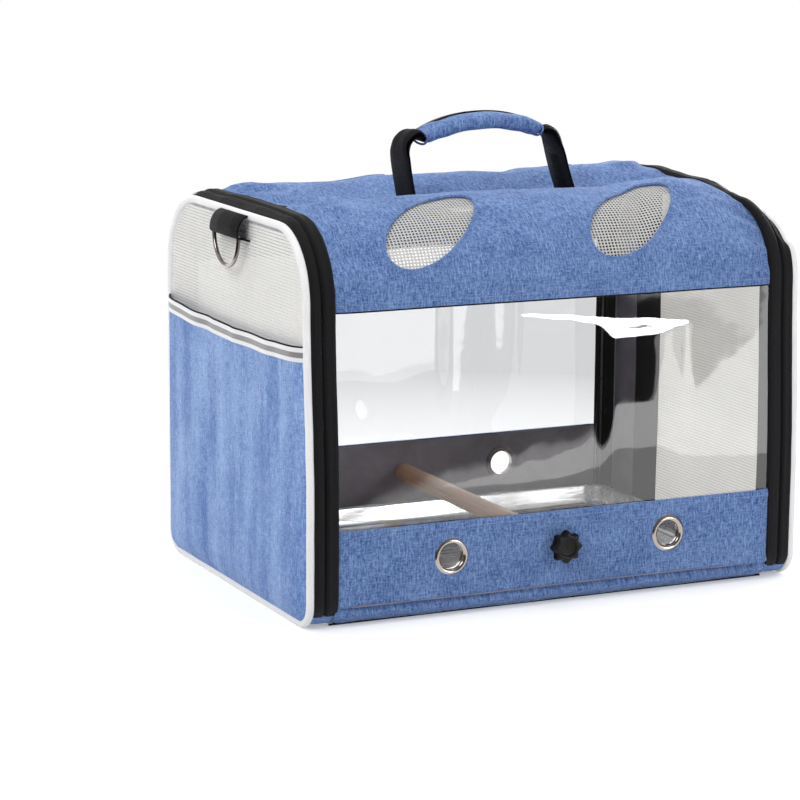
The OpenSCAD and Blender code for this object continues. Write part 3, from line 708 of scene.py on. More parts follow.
def piping_cloth(name, tone):
    """White wrapped piping with a fine rib round it."""
    r = Recipe(name)
    fibre, patch = r.noise(1100, 3, 0.65), r.noise(30, 4, 0.6)
    ribs = r.wave(r.axes("UV")[0], 0.0011)
    shade = r.total(r.around(patch, 0.3, 0.75), r.around(fibre, -0.12, 0.12))
    cloth = r.mix(shade, rgba(tone, 0.90), rgba(tone, 1.03))
    return r.done(r.surface(cloth, 0.6, r.bump(r.total(ribs, fibre), 0.00008, 0.4), Sheen_Weight=0.08))


def plated(name, tone, rough=0.16, scratches=0.5, grains=260):
    """Bright metal with fine handling marks."""
    r = Recipe(name)
    marks, cloud = r.noise(grains, 5, 0.7), r.noise(45, 3, 0.55)
    metal = r.mix(r.around(cloud), rgba(tone, 0.90), rgba(tone, 1.06))
    sheen = r.total(r.around(marks, rough * 0.7, rough * 1.35), r.around(cloud, -0.02, 0.03))
    return r.done(r.surface(metal, sheen, r.bump(marks, 0.00003, scratches), Metallic=1.0))


def dowel_wood(name, tone):
    """Sanded hardwood, its grain along the perch."""
    r = Recipe(name)
    grain, bands = r.noise((420, 16, 420), 5, 0.65), r.noise((90, 5, 90), 2, 0.5)
    pores = r.span(r.noise((1500, 60, 1500), 2, 0.5), 0.60, 0.72)
    wood = r.mix(r.around(grain), rgba(tone, 0.80), rgba(tone, 1.14))
    wood = r.mix(r.span(bands, 0.35, 0.65, 0.0, 0.45), wood, (tone[0] * 0.86, tone[1] * 0.74, tone[2] * 0.62, 1))
    wood = r.mix(r.times(pores, 0.45), wood, rgba(tone, 0.5))
    return r.done(r.surface(wood, r.around(grain, 0.48, 0.62), r.bump(r.math("SUBTRACT", grain, pores), 0.00012, 0.5)))


def moulded(name, tone, rough=0.38):
    """Moulded plastic with faint flow and scuffs."""
    r = Recipe(name)
    fine, cloud = r.noise(800, 3, 0.6), r.noise(130, 4, 0.6)
    body = r.mix(r.around(cloud), rgba(tone, 0.8), rgba(tone, 1.7))
    return r.done(r.surface(body, r.around(cloud, rough * 0.8, rough * 1.3), r.bump(fine, 0.00004, 0.35),
                            Specular_IOR_Level=0.12))


def clear_film(name):
    """Soft clear sheet: it lets light through, greys it a little and mirrors it at a glance."""
    r = Recipe(name)
    through = r.add("ShaderNodeBsdfTransparent", {"Color": (0.872, 0.876, 0.884, 1)}).outputs[0]
    gloss = r.add("ShaderNodeBsdfGlossy", {"Color": (1, 1, 1, 1), "Roughness": 0.035,
                                           "Normal": r.bump(r.noise(14, 3, 0.5), 0.0012, 0.25)}).outputs[0]
    mirrored = r.add("ShaderNodeFresnel", {"IOR": 1.5}).outputs[0]
    return r.done(r.either(r.math("MULTIPLY", mirrored, 1.7, True), through, gloss))


def reflective_tape(name, grey):
    """White tape with a line of grey glass beads along its middle."""
    r = Recipe(name)
    across = r.axes("UV")[1]
    line = r.times(r.span(across, 0.28, 0.31), r.span(across, 0.70, 0.67))
    beads = r.noise(1600, 2, 0.5)
    tone = r.mix(r.around(beads), rgba(grey, 0.8), rgba(grey, 1.2))
    tape = r.mix(line, (0.74, 0.74, 0.75, 1), tone)
    return r.done(r.surface(tape, r.around(beads, 0.35, 0.5), r.bump(beads, 0.00005, 0.4)))


def pressed_board(name, tone):
    """Fibre board in its grey cover."""
    r = Recipe(name)
    fibre = r.noise(700, 4, 0.7)
    shade = r.total(r.around(fibre, 0.0, 0.6), r.around(r.noise(20, 3, 0.5), 0.0, 0.4))
    return r.done(r.surface(r.mix(shade, rgba(tone, 0.7), rgba(tone, 1.25)), 0.85, r.bump(fibre, 0.0002, 0.5)))


FINISHES = {}


def finish(name):
    """The material of a finish, made once."""
    if name not in FINISHES:
        c = bpy.context.scene.carrier_colours
        maker, *values = {
            "denim": (heather, c.denim_dark, c.denim_light),
            "denim_pocket": (heather, c.pocket_dark, c.pocket_light, "UV", 1.7),
            "denim_grip": (heather, c.denim_dark, c.denim_light, "Object"),
            "lining": (plain_weave, c.lining, 0.0009, 0.85, 0.15),
            "tape": (plain_weave, c.tape, 0.0010, 0.72, 0.3, 0.02, 0.12),
            "coil": (plain_weave, [v * 0.6 for v in c.tape], 0.0012, 0.6, 0.2, 0.0, 0.1),
            "webbing": (strap_weave, c.webbing),
            "mesh": (netting, c.mesh),
            # The vents' mesh is the ends' mesh painted darker: painted shade of the dark inside behind it.
            "vent_mesh": (netting, [v * 0.72 for v in c.mesh]),
            "piping": (piping_cloth, c.piping),
            "nickel": (plated, c.nickel),
            "tray_steel": (plated, c.steel, 0.24, 0.35, (18, 420, 420)),
            "stud_steel": (plated, c.nickel, 0.3),
            "spring_wire": (plated, [v * 0.7 for v in c.nickel], 0.35),
            "brass": (plated, (0.60, 0.43, 0.16), 0.28),
            "black_metal": (plated, (0.035, 0.035, 0.038), 0.34),
            "wood": (dowel_wood, c.wood),
            "plastic": (moulded, c.plastic),
            "clear": (clear_film,),
            "reflective": (reflective_tape, c.reflective),
            "board": (pressed_board, c.lining),
        }[name]
        FINISHES[name] = maker(name, *values)
    return FINISHES[name]


# ---- The body's cloth ----

class CARRIER_OT_top_panels(bpy.types.Operator):
    """Makes the two crowned top panels, open at their vents, with rolled vent edges"""
    bl_idname = "carrier.top_panels"
    bl_label = "Top panels"

    def execute(self, context):
        for name, side in SIDES:
            bm = moved_grid(170, 84, lambda u, v: crown(side, mix(-BODY_X, BODY_X, u), v), (2 * BODY_X, SECTION_L))
            layer = bm.loops.layers.uv.active
            runs = {loop.vert: loop[layer].uv.y for face in bm.faces for loop in face.loops}
            for _, middle in VENTS:
                self.open_vent(bm, runs, side, middle)
            panel = piece(f"{name}_top_cloth", bm, "denim", "carrier",
                          (f"{name}_top_panel",), wall=0.0016, inside=(0, 0, 0.2))
            for vent, middle in VENTS:
                edge = [vent_edge(middle, turn, -0.0003) for turn in circle(96)]
                points = [crown(side, x, run / SECTION_L, 0.0006) for x, run in edge]
                rolled = swept(points, round_ring(0.0013, 8), (0, side * 0.6, 0.8), closed=True)
                piece(f"{name}_{vent}_vent_edge", rolled, "denim", "carrier")
        return {"FINISHED"}

    @staticmethod
    def open_vent(bm, runs, side, middle):
        """Takes out the faces inside a vent and moves their rim onto its edge. runs gives each vertex's run."""
        gone = []
        for face in bm.faces:
            run = sum(runs[vert] for vert in face.verts) / len(face.verts)
            if vent_depth(middle, face.calc_center_median().x, run)[0] < 1:
                gone.append(face)
        bmesh.ops.delete(bm, geom=gone, context="FACES")
        for vert in bm.verts:
            if vert.is_boundary and 0.004 < runs[vert] < SECTION_L - 0.004 and abs(vert.co.x) < BODY_X - 0.002:
                depth, turn = vent_depth(middle, vert.co.x, runs[vert])
                if depth < 1.3:
                    x, run = vent_edge(middle, turn)
                    vert.co = crown(side, x, run / SECTION_L)
                    runs[vert] = run


class CARRIER_OT_vent_meshes(bpy.types.Operator):
    """Makes the four vent meshes of crossed threads under the top panels"""
    bl_idname = "carrier.vent_meshes"
    bl_label = "Vent meshes"

    def execute(self, context):
        pitch = context.scene.carrier_sizes.vent_pitch
        wide = pitch * 0.38
        for name, side in SIDES:
            for vent, middle in VENTS:
                bm = bmesh.new()
                edge = [vent_edge(middle, turn, NET_LAP) for turn in circle(240)]
                # Threads along the carrier, then threads up the slope, which lie a little deeper
                for fixed, depth in ((1, 0.0022), (0, 0.00245)):
                    for at in self.rows([point[fixed] for point in edge], pitch):
                        inside = [point[1 - fixed] for point in edge if abs(point[fixed] - at) < 0.0016]
                        a, b = min(inside), max(inside)

                        def place(u, v):
                            x, run = mix(a, b, u), at + (v - 0.5) * wide
                            if not fixed:
                                x, run = run, x
                            return crown(side, x, run / SECTION_L, depth)
                        grid_into(bm, 22, 1, place, (b - a, wide))
                face_away(bm, Vector((middle, 0, 0.2)))
                net = piece(f"{name}_{vent}_vent_net", bm, "vent_mesh", "carrier",
                            (f"{name}_{vent}_vent",), wall=0.00035)
        return {"FINISHED"}

    @staticmethod
    def rows(values, pitch):
        """Places a pitch apart, centred between the lowest and the highest value."""
        low, high = min(values), max(values)
        count = int((high - low - 0.002) / pitch)
        start = (low + high - count * pitch) / 2
        return [start + i * pitch for i in range(count + 1)]


class CARRIER_OT_top_seam(bpy.types.Operator):
    """Makes the tape that covers the middle seam of the top"""
    bl_idname = "carrier.top_seam"
    bl_label = "Top seam tape"

    def execute(self, context):
        def place(u, v):
            x = mix(-BODY_X + 0.002, BODY_X - 0.002, u)
            far = end_share(x)
            sag = 0.0006 * ripple(x * 30, 4) - 0.0016 * ease((abs(x) - 0.168) / 0.008)
            y = mix(-0.004, 0.004, v) + 0.0006 * ripple(x * 22, 9)
            return pulled_up(Vector((x, y, valley_z(far) + 0.0004 + sag + 0.0006 * abs(2 * v - 1))), far * far)
        piece("top_seam_cover", moved_grid(120, 4, place, (0.38, 0.008)), "tape", "carrier",
              ("top_seam_tape",), wall=0.0007, inside=(0, 0, 0))
        return {"FINISHED"}


def turned_under(side, y, r, out, turn):
    """A point of a bottom corner of radius r, out from it, at a turn from the wall to the floor."""
    return side * (y - r + (r + out) * math.cos(turn)), r - (r + out) * math.sin(turn)


def wall_point(side, x, run, inset=0.0, fold=0.0135):
    """A point of a lower wall: run from 0 at its top edge, down and round under the bottom corner."""
    straight = BAND_TOP - BAND_R
    full = ease((BODY_X - abs(x)) / 0.02)
    bulge = 0.0013 * math.sin(math.pi * min(run / 0.066, 1.0)) * full
    z_at = BAND_TOP - run
    level = fold + 0.0010 * ripple(x * 9, 3.0) - 0.0012 * hump(x, 0.19, 0.06)
    crease = 0.0042 * hump(z_at, level, 0.0019) * mix(0.35, 1.0, full)
    below = 0.0022 * hump(z_at, level - 0.0050, 0.0035) + 0.0008 * hump(z_at, level + 0.004, 0.003)
    inset += 0.0012 * ease((abs(x) - 0.1795) / 0.004)
    soft = full * (0.0007 * ripple(x * 16, run * 26, side * 2.0) + 0.0003 * ripple(x * 55, run * 60, side))
    hem = 0.0005 * ease((run - 0.0010) / 0.0012) * (1 - ease((run - 0.006) / 0.0008))
    out = bulge - crease + below + soft - inset + hem
    if run < straight:
        return Vector((x, side * (WALL_Y + out), z_at))
    y, z = turned_under(side, WALL_Y, BAND_R, out, min((run - straight) / BAND_R, math.pi / 2))
    return Vector((x, y, max(z, 0.0002)))


def lining_point(side, x, run):
    """A point of a wall's lining: down the wall, round the corner and in under the tray."""
    r, foot = 0.0155, 0.0185
    straight = LINING_TOP - foot
    if run < straight:
        soft = 0.0005 * ripple(x * 13, run * 20, side * 5.0)
        return Vector((x, side * (LINING_Y - 0.0002 + min(soft, 0.0)), LINING_TOP - run))
    a = (run - straight) / r
    if a < math.pi / 2:
        y, z = turned_under(side, LINING_Y, r, 0.0, a)
        return Vector((x, y, z + foot - r + 0.0021))
    return Vector((x, side * (LINING_Y - r - (run - straight - r * math.pi / 2)), 0.0051))


def wall_opening(at):
    """How far a point of a wall lies from the nearest opening, 1 on its edge, and the place on that edge."""
    best = (9.0, None)
    for x, r in ((-GROMMET_X, 0.0118), (GROMMET_X, 0.0118), (0.0, 0.0042)):
        dx, dz = at.x - x, at.z - FITTING_Z
        d = math.hypot(dx, dz)
        if abs(at.y) > 0.13 and d / r < best[0]:
            k = r / d if d else 0.0
            best = (d / r, Vector((x + dx * k, at.y, FITTING_Z + dz * k)))
    return best


class CARRIER_OT_lower_walls(bpy.types.Operator):
    """Makes the lower walls with their fold and turn under, their grey linings, the welts and the bottom"""
    bl_idname = "carrier.lower_walls"
    bl_label = "Lower walls"

    def execute(self, context):
        fold = context.scene.carrier_sizes.fold
        total = BAND_TOP - BAND_R + BAND_R * math.pi / 2
        for name, side in SIDES:
            bm = moved_grid(176, 100, lambda u, v: wall_point(side, mix(-BODY_X, BODY_X, u), v * total, 0.0, fold),
                            (2 * BODY_X, total))
            cut_openings(bm, wall_opening)
            wall = piece(f"{name}_wall_cloth", bm, "denim", "carrier", (f"{name}_band",),
                         wall=0.0015, inside=(0, 0, 0.06))

            reach = BODY_X - 0.0005
            bm = moved_grid(150, 40, lambda u, v: lining_point(side, mix(-reach, reach, u), v * LINING_L),
                            (2 * BODY_X, LINING_L))
            cut_openings(bm, wall_opening)
            lining = piece(f"{name}_wall_lining", bm, "lining", "carrier", (f"{name}_band_lining",),
                           wall=0.0008, inward=False, inside=(0, 0, 0.06))

            points = []
            for x in spread(-BODY_X, BODY_X, 90):
                y, z = turned_under(side, WALL_Y, BAND_R, 0.0004, math.radians(74))
                points.append(Vector((x, y, z + 0.0004 + 0.0002 * ripple(x * 40))))
            piece(f"{name}_bottom_piping", swept(points, round_ring(0.0010, 10), (0, 0, 1)), "tape", "carrier",
                  (f"{name}_bottom_welt",))

        half_w = 0.1228

        def quilted(u, v):
            quilt = abs(math.sin(math.pi * (u * 6))) ** 0.35 * abs(math.sin(math.pi * v * 4)) ** 0.35
            return Vector((mix(-BODY_X, BODY_X, u), mix(-half_w, half_w, v), 0.0009 - 0.0006 * quilt))
        bottom = piece("bottom_cloth", moved_grid(96, 64, quilted, (2 * BODY_X, 2 * half_w)), "denim",
                       "carrier", ("bottom_panel",), wall=0.001, inside=(0, 0, 0.1))
        return {"FINISHED"}


class CARRIER_OT_windows(bpy.types.Operator):
    """Makes the clear front and rear sheets, their bindings and the stitching round them"""
    bl_idname = "carrier.windows"
    bl_label = "Clear windows"

    def execute(self, context):
        sizes = context.scene.carrier_sizes
        low, high = BAND_TOP - 0.004, max(HEM_Z.values()) + 0.002
        reach = BODY_X + 0.001

        def out_of_true(side, x, z):
            """Slack of the sheet between its seams: broad waves, and a pucker that hangs from the top seam."""
            across, down = clamp01((x + BODY_X) / (2 * BODY_X)), clamp01((z - low) / (high - low))
            free = abs(math.sin(math.pi * across)) ** 0.5 * abs(math.sin(math.pi * down)) ** 0.6
            broad = 1.6 * ripple(x * 6 + 3 * side, z * 5, 1.7) + 0.35 * ripple(x * 17, z * 13, side * 4.0)
            top, foot = table_m(PUCKER_TOP, x), table_m(PUCKER_FOOT, x)
            deep = max(top - foot, 0.0008)
            span = ease((x + 0.045) / 0.02) * ease((0.116 - x) / 0.008)
            flank = 1 - ease((z - foot) / deep) if z > foot else clamp01((z - 0.085) / 0.065)
            return sizes.window_wave * free * broad + 0.165 * deep * span * flank

        for name, side in SIDES:
            def pane_point(u, v):
                x, z = mix(-reach, reach, u), mix(low, high, v)
                return Vector((x, side * (WALL_Y - 0.0024 + out_of_true(side, x, z)), z))
            pane = piece(f"{name}_clear_sheet", moved_grid(170, 120, pane_point, (2 * BODY_X, high - low)), "clear",
                         "carrier", (f"{name}_window",), sharp=80, inside=(0, 0, 0.15))

            def binding_point(u, v):
                x = mix(-BODY_X, BODY_X, u)
                hem = crown(side, x, 0.0)
                y = hem.y + side * (0.0002 * math.sin(math.pi * v) - 0.0004)
                return Vector((x, y, hem.z + mix(-0.0012, 0.0006, v)))
            piece(f"{name}_window_seam", moved_grid(130, 3, binding_point, (2 * BODY_X, 0.0018)), "tape",
                  "carrier", (f"{name}_window_binding",), wall=0.0006, inside=(0, 0, 0.15))

            bm = bmesh.new()
            pitch = sizes.stitch * 1.35
            places = [-BODY_X + 0.002 + (i + 0.5) * pitch for i in range(int(2 * (BODY_X - 0.002) / pitch))]
            stitches = [crown(side, x, 0.0046 / SECTION_L, -0.00005) for x in places]
            stitches += [wall_point(side, x, 0.0045, -0.00005, sizes.fold) for x in places]
            for at in stitches:
                rod_into(bm, at, LENGTHWISE, 0.00022, sizes.stitch, 5)
            piece(f"{name}_window_stitches", bm, "denim_pocket", "carrier")
        return {"FINISHED"}


# ---- Zips ----

class CARRIER_OT_zippers(bpy.types.Operator):
    """Makes the zip tapes and coils round both ends, and the cloth hinges under them"""
    bl_idname = "carrier.zippers"
    bl_label = "Zip tapes"

    def execute(self, context):
        for name, side in ENDS:
            # Part, body, from and to along the carrier, whether it lies on the body, and how far its edges pull up
            for span in (("body", "carrier", BODY_X - TAPE_LAP, COIL_X - 0.00005, True, 1.0, 0.9),
                         ("door", f"{name}_door", COIL_X + 0.00005, DOOR_TAPE_OUT + 0.0008, False, 0.9, 0.2)):
                self.tape(name, side, *span)
            bm = bmesh.new()
            across = Matrix.Rotation(math.pi / 2 + side * 0.14, 3, "Y")
            for y, z, oy, oz in evenly(end_track(0.0, ZIP_LOW + 0.001), 520):
                at = pulled_up(self.on_track(side * COIL_X, (y, z, oy, oz), -INSET - 0.0019), 0.9)
                rod_into(bm, at, Matrix.Rotation(math.atan2(oz, oy), 3, "X") @ across, 0.0008, 0.0029, 6)
            piece(f"{name}_coil_teeth", bm, "coil", "carrier", (f"{name}_zip_coil",))

            points = [pulled_up(self.on_track(side * (BODY_X + 0.0025), place, -0.0060), 1.0)
                      for place in evenly(end_track(0.0), 240, closed=True)[:-1]]
            piece(f"{name}_spring_wire", swept(points, round_ring(0.0011, 8), (1, 0, 0), closed=True), "spring_wire",
                  "carrier", (f"{name}_rim_wire",))

            under = evenly(end_track(0.0, ZIP_LOW, under=True), 140)

            def hinge_point(u, v):
                out = -INSET - 0.0006 + 0.0005 * math.sin(math.pi * v) + 0.0003 * ripple(u * 20, v, side)
                at = self.on_track(side * mix(BODY_X - 0.0004, DOOR_TAPE_OUT, v), under[round(u * 140)], out)
                at.z = max(at.z, 0.0008)
                return at
            hinge = piece(f"{name}_hinge_cloth", moved_grid(140, 8, hinge_point, (0.27, 0.017)), "denim_pocket",
                          None, (f"{name}_hinge_strip",), wall=0.0012, inside=(side * 0.195, 0, 0.15))
            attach(hinge, "carrier")
        return {"FINISHED"}

    @staticmethod
    def on_track(x, place, out):
        """A point beside a place of an end's track, out from it."""
        y, z, oy, oz = place
        return Vector((x, y + out * oy, z + out * oz))

    def tape(self, name, side, part, body, x0, x1, on_body, lift0, lift1):
        """One half of a zip's tape, with the stitches along it."""
        steps = 260
        track = evenly(end_track(0.0, ZIP_LOW), steps)
        sunk = (0.0034 if side > 0 else 0.0018) if on_body else 0.0

        def tape_point(u, v):
            to_coil = v if on_body else 1 - v
            lip = 0.0008 * math.sin(math.pi * v) + 0.0004 * hump(to_coil, 0.72, 0.10)
            lip -= 0.0016 * ease((to_coil - 0.84) / 0.16)
            out = -INSET + 0.0002 + lip + 0.0003 * ripple(u * 30, v * 2, side)
            out -= 0.0012 * (1 - ease(min(u, 1 - u) / 0.012)) + sunk * (1 - ease(to_coil / 0.12))
            return pulled_up(self.on_track(side * mix(x0, x1, v), track[round(u * steps)], out), mix(lift0, lift1, v))
        tape = piece(f"{name}_{part}_zip_tape", moved_grid(steps, 14, tape_point, (0.84, x1 - x0)), "tape",
                     body, (f"{name}_{part}_tape",), wall=0.0011, inside=(side * 0.195, 0, 0.15))
        bm = bmesh.new()
        x = side * mix(x0, x1, 0.30 if on_body else 0.70)
        for place in track[4:256]:
            at = pulled_up(self.on_track(x, place, -INSET + 0.0010), mix(lift0, lift1, 0.5))
            turn = Vector((0, 0, 1)).rotation_difference(Vector((0, -place[3], place[2]))).to_matrix()
            rod_into(bm, at, turn, 0.00016, 0.0022, 4)
        piece(f"{name}_{part}_zip_stitches", bm, "coil", body)


# ---- The two ends ----

def belly(y, z):
    """How far an end's mesh stands out of flat."""
    bow = (1 - (y / HALF_W) ** 2) * (1 - ((z - TOP_Z / 2) / (TOP_Z / 2)) ** 2)
    return 0.0016 * bow + 0.0003 * ripple(y * 30, z * 30)


class CARRIER_OT_end_doors(bpy.types.Operator):
    """Makes the mesh panels of the two ends, the white piping round them and the facings of the right end"""
    bl_idname = "carrier.end_doors"
    bl_label = "Mesh ends"

    def execute(self, context):
        sizes = context.scene.carrier_sizes
        pitch, thread = sizes.mesh_pitch, sizes.mesh_thread
        margin = 0.006
        for name, side in ENDS:
            bm = bmesh.new()
            for i in range(1, int((TOP_Z - 2 * margin) / pitch)):
                z = margin + i * pitch
                reach = reach_y(z, NET_INSET)
                grid_into(bm, 8, 1, lambda u, v: self.net_point(
                    side, mix(-reach, reach, u), z, 0.0002, (0, (v - 0.5) * 1.95 * thread)), (2 * reach, thread))
            for i in range(1, int((2 * HALF_W - 2 * margin) / pitch)):
                y = -HALF_W + margin + i * pitch
                z0, z1 = reach_z(y, NET_INSET)
                grid_into(bm, 8, 1, lambda u, v: self.net_point(
                    side, y, mix(z0, z1, u), -0.00015, ((v - 0.5) * 0.75 * thread, 0)), (z1 - z0, thread))
            face_away(bm, Vector((0, 0, 0.15)))
            net = piece(f"{name}_end_net", bm, "mesh", f"{name}_door", (f"{name}_door_mesh",), wall=0.0004)

            points = [Vector((side * (PIPE_X + 0.0002 * ripple(y * 50, z * 50, side)), y, z))
                      for y, z, _, _ in evenly(end_track(PIPE_R), 300, closed=True)[:-1]]
            piece(f"{name}_end_piping", swept(points, round_ring(PIPE_R, 14), (1, 0, 0), closed=True), "piping",
                  f"{name}_door", (f"{name}_door_piping",))
        for part, material, slot, spans in (
                ("dark", "tape", "zip_tape", ((0.066, 0.104), (-0.1375, -0.092))),
                ("grey", "lining", "lining", ((0.104, 0.1375),))):
            bm = bmesh.new()
            for y0, y1 in spans:
                grid_into(bm, 60, 10, lambda u, v: self.facing_point(mix(y0, y1, v), u), (0.28, y1 - y0))
            strip = piece(f"right_end_{part}_facing", bm, material, "right_door", wall=0.0006,
                          inside=(0, 0, 0.15))
        return {"FINISHED"}

    @staticmethod
    def net_point(side, y, z, lift, across):
        """A point of a thread's width, across from its middle (y, z)."""
        return Vector((side * (PIPE_X + lift + belly(y, z)), y + across[0], z + across[1]))

    @staticmethod
    def facing_point(y, up):
        z = mix(*reach_z(y, 0.0055), up)
        return Vector((PIPE_X - 0.0028 + belly(y, z) + 0.0006 * ripple(y * 60, z * 12, 5.0), y, z))


def mouth_z(y, sag):
    """Height of the pocket's mouth, which hangs between the two sides."""
    return 0.2102 - sag * (1 - (y / 0.139) ** 2) + 0.0003 * ripple(y * 30, 2.0)


def pocket_point(y, z, stand, off=0.0):
    """A point of the pocket's outer face."""
    near = min(max(reach_y(z, POCKET_INSET) - abs(y), 0.0), max(z - reach_z(y, POCKET_INSET)[0], 0.0))
    lift = stand * (1 - math.exp(-near / 0.0075))
    folds = sum(deep * hump(y, middle, half) for deep, middle, half in POCKET_FOLDS)
    soft = 0.0008 * ripple(y * 22, z * 12, 7.0) + 0.0004 * ripple(y * 60, z * 40, 3.0)
    out = lift + (1 - math.exp(-near / 0.012)) * (folds * mix(0.55, 1.0, ease((z - 0.08) / 0.12)) + soft)
    return Vector((-(PIPE_X + 0.0016 + out + off), y, z))


class CARRIER_OT_pocket(bpy.types.Operator):
    """Makes the cloth pocket of the left end, its bound mouth and its reflective strip"""
    bl_idname = "carrier.pocket"
    bl_label = "Pocket"

    def execute(self, context):
        sizes = context.scene.carrier_sizes
        stand, sag, strip = sizes.pocket_stand, sizes.mouth_sag, sizes.strip
        columns, foot_z = 104, 0.0052

        def cell(u, v, off=0.0, top=0.0, bottom=None):
            """From the pocket's foot to its mouth, or between two lines under the mouth."""
            shape = 2 * u - 1
            mouth = mouth_z(shape * 0.1385, sag)
            z = mix(foot_z, mouth - top, v) if bottom is None else mouth - mix(bottom, top, v)
            return pocket_point(shape * reach_y(z, POCKET_INSET), z, stand, off)

        pocket = piece("left_pocket_cloth", moved_grid(columns, 84, cell, (0.277, 0.205)), "denim_pocket", "left_door",
                       ("left_pocket",), wall=0.0010, inside=(0, 0, 0.1))
        bm = moved_grid(columns, 4, lambda u, v: cell(u, v, 0.0005, 0.0002, 0.0002 + strip), (0.277, 1.0))
        piece("left_pocket_line", bm, "reflective", "left_door", ("left_pocket_strip",),
              wall=0.0004, inside=(0, 0, 0.1))
        points = [cell(u, 1.0, -0.0003, 0.0, 0.0) for u in spread(0.0, 1.0, columns + 1)]
        piece("left_pocket_binding", swept(points, round_ring(0.0006, 8, 0.0010), (1, 0, 0)), "tape", "left_door")
        return {"FINISHED"}


class CARRIER_OT_rings(bpy.types.Operator):
    """Makes the webbing tabs at the top of the ends and the D-shaped rings in them"""
    bl_idname = "carrier.rings"
    bl_label = "Ring tabs and rings"

    def execute(self, context):
        for name, side in ENDS:
            inner, bar = PIPE_X + 0.0012, 0.0029
            upright, level, back = (math.radians(turn) for turn in (90, 6, -100))
            path = [(inner + (RING_X + bar - inner) * math.cos(a), RING_Z + 0.0142 * math.sin(a))
                    for a in spread(upright, level, 14)]
            path += [(RING_X + bar * math.cos(a), RING_Z + bar * math.sin(a)) for a in spread(level, back, 10)[1:]]
            path += [(mix(RING_X - 0.0006, inner - 0.0001, t), mix(RING_Z - bar, 0.2745, ease(t)))
                     for t in spread(0.0, 1.0, 8)[1:]]
            strap = swept([Vector((side * x, -0.002, z)) for x, z in path], flat_ring(TAB_W, 0.0011), (0, 1, 0),
                          size=(0.05, TAB_W))
            for vert in strap.verts:
                vert.co.z += 0.0005 * ripple(vert.co.y * 60, vert.co.x * 40, side)
            tab = piece(f"{name}_ring_webbing", strap, "webbing", f"{name}_door", (f"{name}_ring_tab",))

            bow, drop = 0.0248, 0.0014
            loop = [Vector((side * RING_X, y, RING_Z)) for y in spread(-bow, bow, 17)[1:-1]]
            loop += [Vector((side * RING_X, bow * math.cos(a), RING_Z - drop - bow * math.sin(a)))
                     for a in spread(0.0, math.pi, 41)]
            piece(f"{name}_d_ring", swept(loop, round_ring(0.0017, 14), (1, 0, 0), closed=True), "nickel",
                  f"{name}_ring_body", (f"{name}_ring",))
        return {"FINISHED"}


# ---- Handle ----

class CARRIER_OT_handle(bpy.types.Operator):
    """Makes the webbing handle, sewn to the top, and the padded cloth grip round it"""
    bl_idname = "carrier.handle"
    bl_label = "Handle"

    def execute(self, context):
        half, mid, high = 0.0505, -0.003, 0.3560
        rise = 0.0104
        bow = (half * half + rise * rise) / (2 * rise)
        ends = (mid - half, mid + half)

        def arch(x):
            return high - bow + math.sqrt(bow * bow - (x - mid) ** 2) + 0.0018 * (x - mid) / half

        def beyond(x, fall):
            """0 over the grip, 1 from fall beyond its ends."""
            return ease((abs(x - mid) - half) / fall)

        corners = LEFT_LEG + tuple((x, arch(x) - 0.0004) for x in spread(*ends, 13)) + RIGHT_LEG
        line = [Vector((x, 0, z)) for x, z in rounded(corners, 5)]

        def section(t):
            at = line[round(t * (len(line) - 1))]
            narrow = ease((at.z - 0.326) / 0.016)
            fold = narrow * beyond(at.x, 0.006)
            return flat_ring(mix(WEBBING_W, 0.0235, narrow) + 0.002 * fold, mix(0.0026, 0.0040, narrow) + 0.0032 * fold)
        bm = swept(line, section, (0, 1, 0), size=(0.33, 0.064))
        for vert in bm.verts:
            x, y, z = vert.co
            crumple = ease((z - 0.328) / 0.008) * beyond(x, 0.005)
            vert.co += crumple * Vector((0.0012 * ripple(y * 90, z * 60, 3.0), 0.0012 * ripple(x * 120, z * 120, 2.0),
                                         0.0016 * ripple(y * 110, x * 90, 5.0)))
        strap = piece("handle_webbing", bm, "webbing", None, ("handle_strap", "handle_anchors"),
                      blended=("carrier", "handle", (0, 0, 0.304), (0, 0, 0.320)), sharp=50)

        crest = [Vector((x, 0.0075, arch(x) + 0.0059 - 0.0014 * (abs(x - mid) / half) ** 4)) for x in spread(*ends, 41)]
        piece("handle_top_webbing", swept(crest, flat_ring(0.0090, 0.0012), (0, 1, -0.12)), "webbing", "handle")

        def grip_point(u, v):
            x, a = mix(*ends, u), math.tau * v
            end = ease(min(u, 1 - u) / 0.05)
            thick, wide = (size * math.copysign(abs(turn) ** 0.8, turn) for size, turn in (
                (mix(0.0046, 0.0060, end), math.sin(a)), (mix(0.0124, 0.0140, end), math.cos(a))))
            return Vector((x + thick * (x - mid) / bow, wide, arch(x) + thick - 0.0003))
        grip = piece("handle_padding", moved_grid(44, 30, grip_point, (0.108, 0.08), shut=True), "denim_grip", None,
                     ("handle_grip",), sharp=60)
        swell(grip, context, 0.003, context.scene.carrier_sizes.grip_swell, 2.0)
        for vert in grip.data.vertices:
            x, y, z = vert.co
            folds = 0.0006 * math.sin(x * 240 + 50 * y) * hump(abs(x), 0.040, 0.014)
            vert.co.z += folds + 0.0007 * ripple(x * 50, y * 60, 3)
        finish_shading(grip, 60)
        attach(grip, "handle")

        for name, end in ENDS:
            x = mid + end * (half - 0.0004)
            points = [Vector((x + 0.0004 * math.sin(3 * a), 0.0132 * math.cos(a), arch(x) + 0.0052 * math.sin(a)))
                      for a in circle(40)]
            piece(f"handle_{name}_hem", swept(points, round_ring(0.0009, 8), (1, 0, 0), closed=True), "denim_grip",
                  "handle")
        return {"FINISHED"}


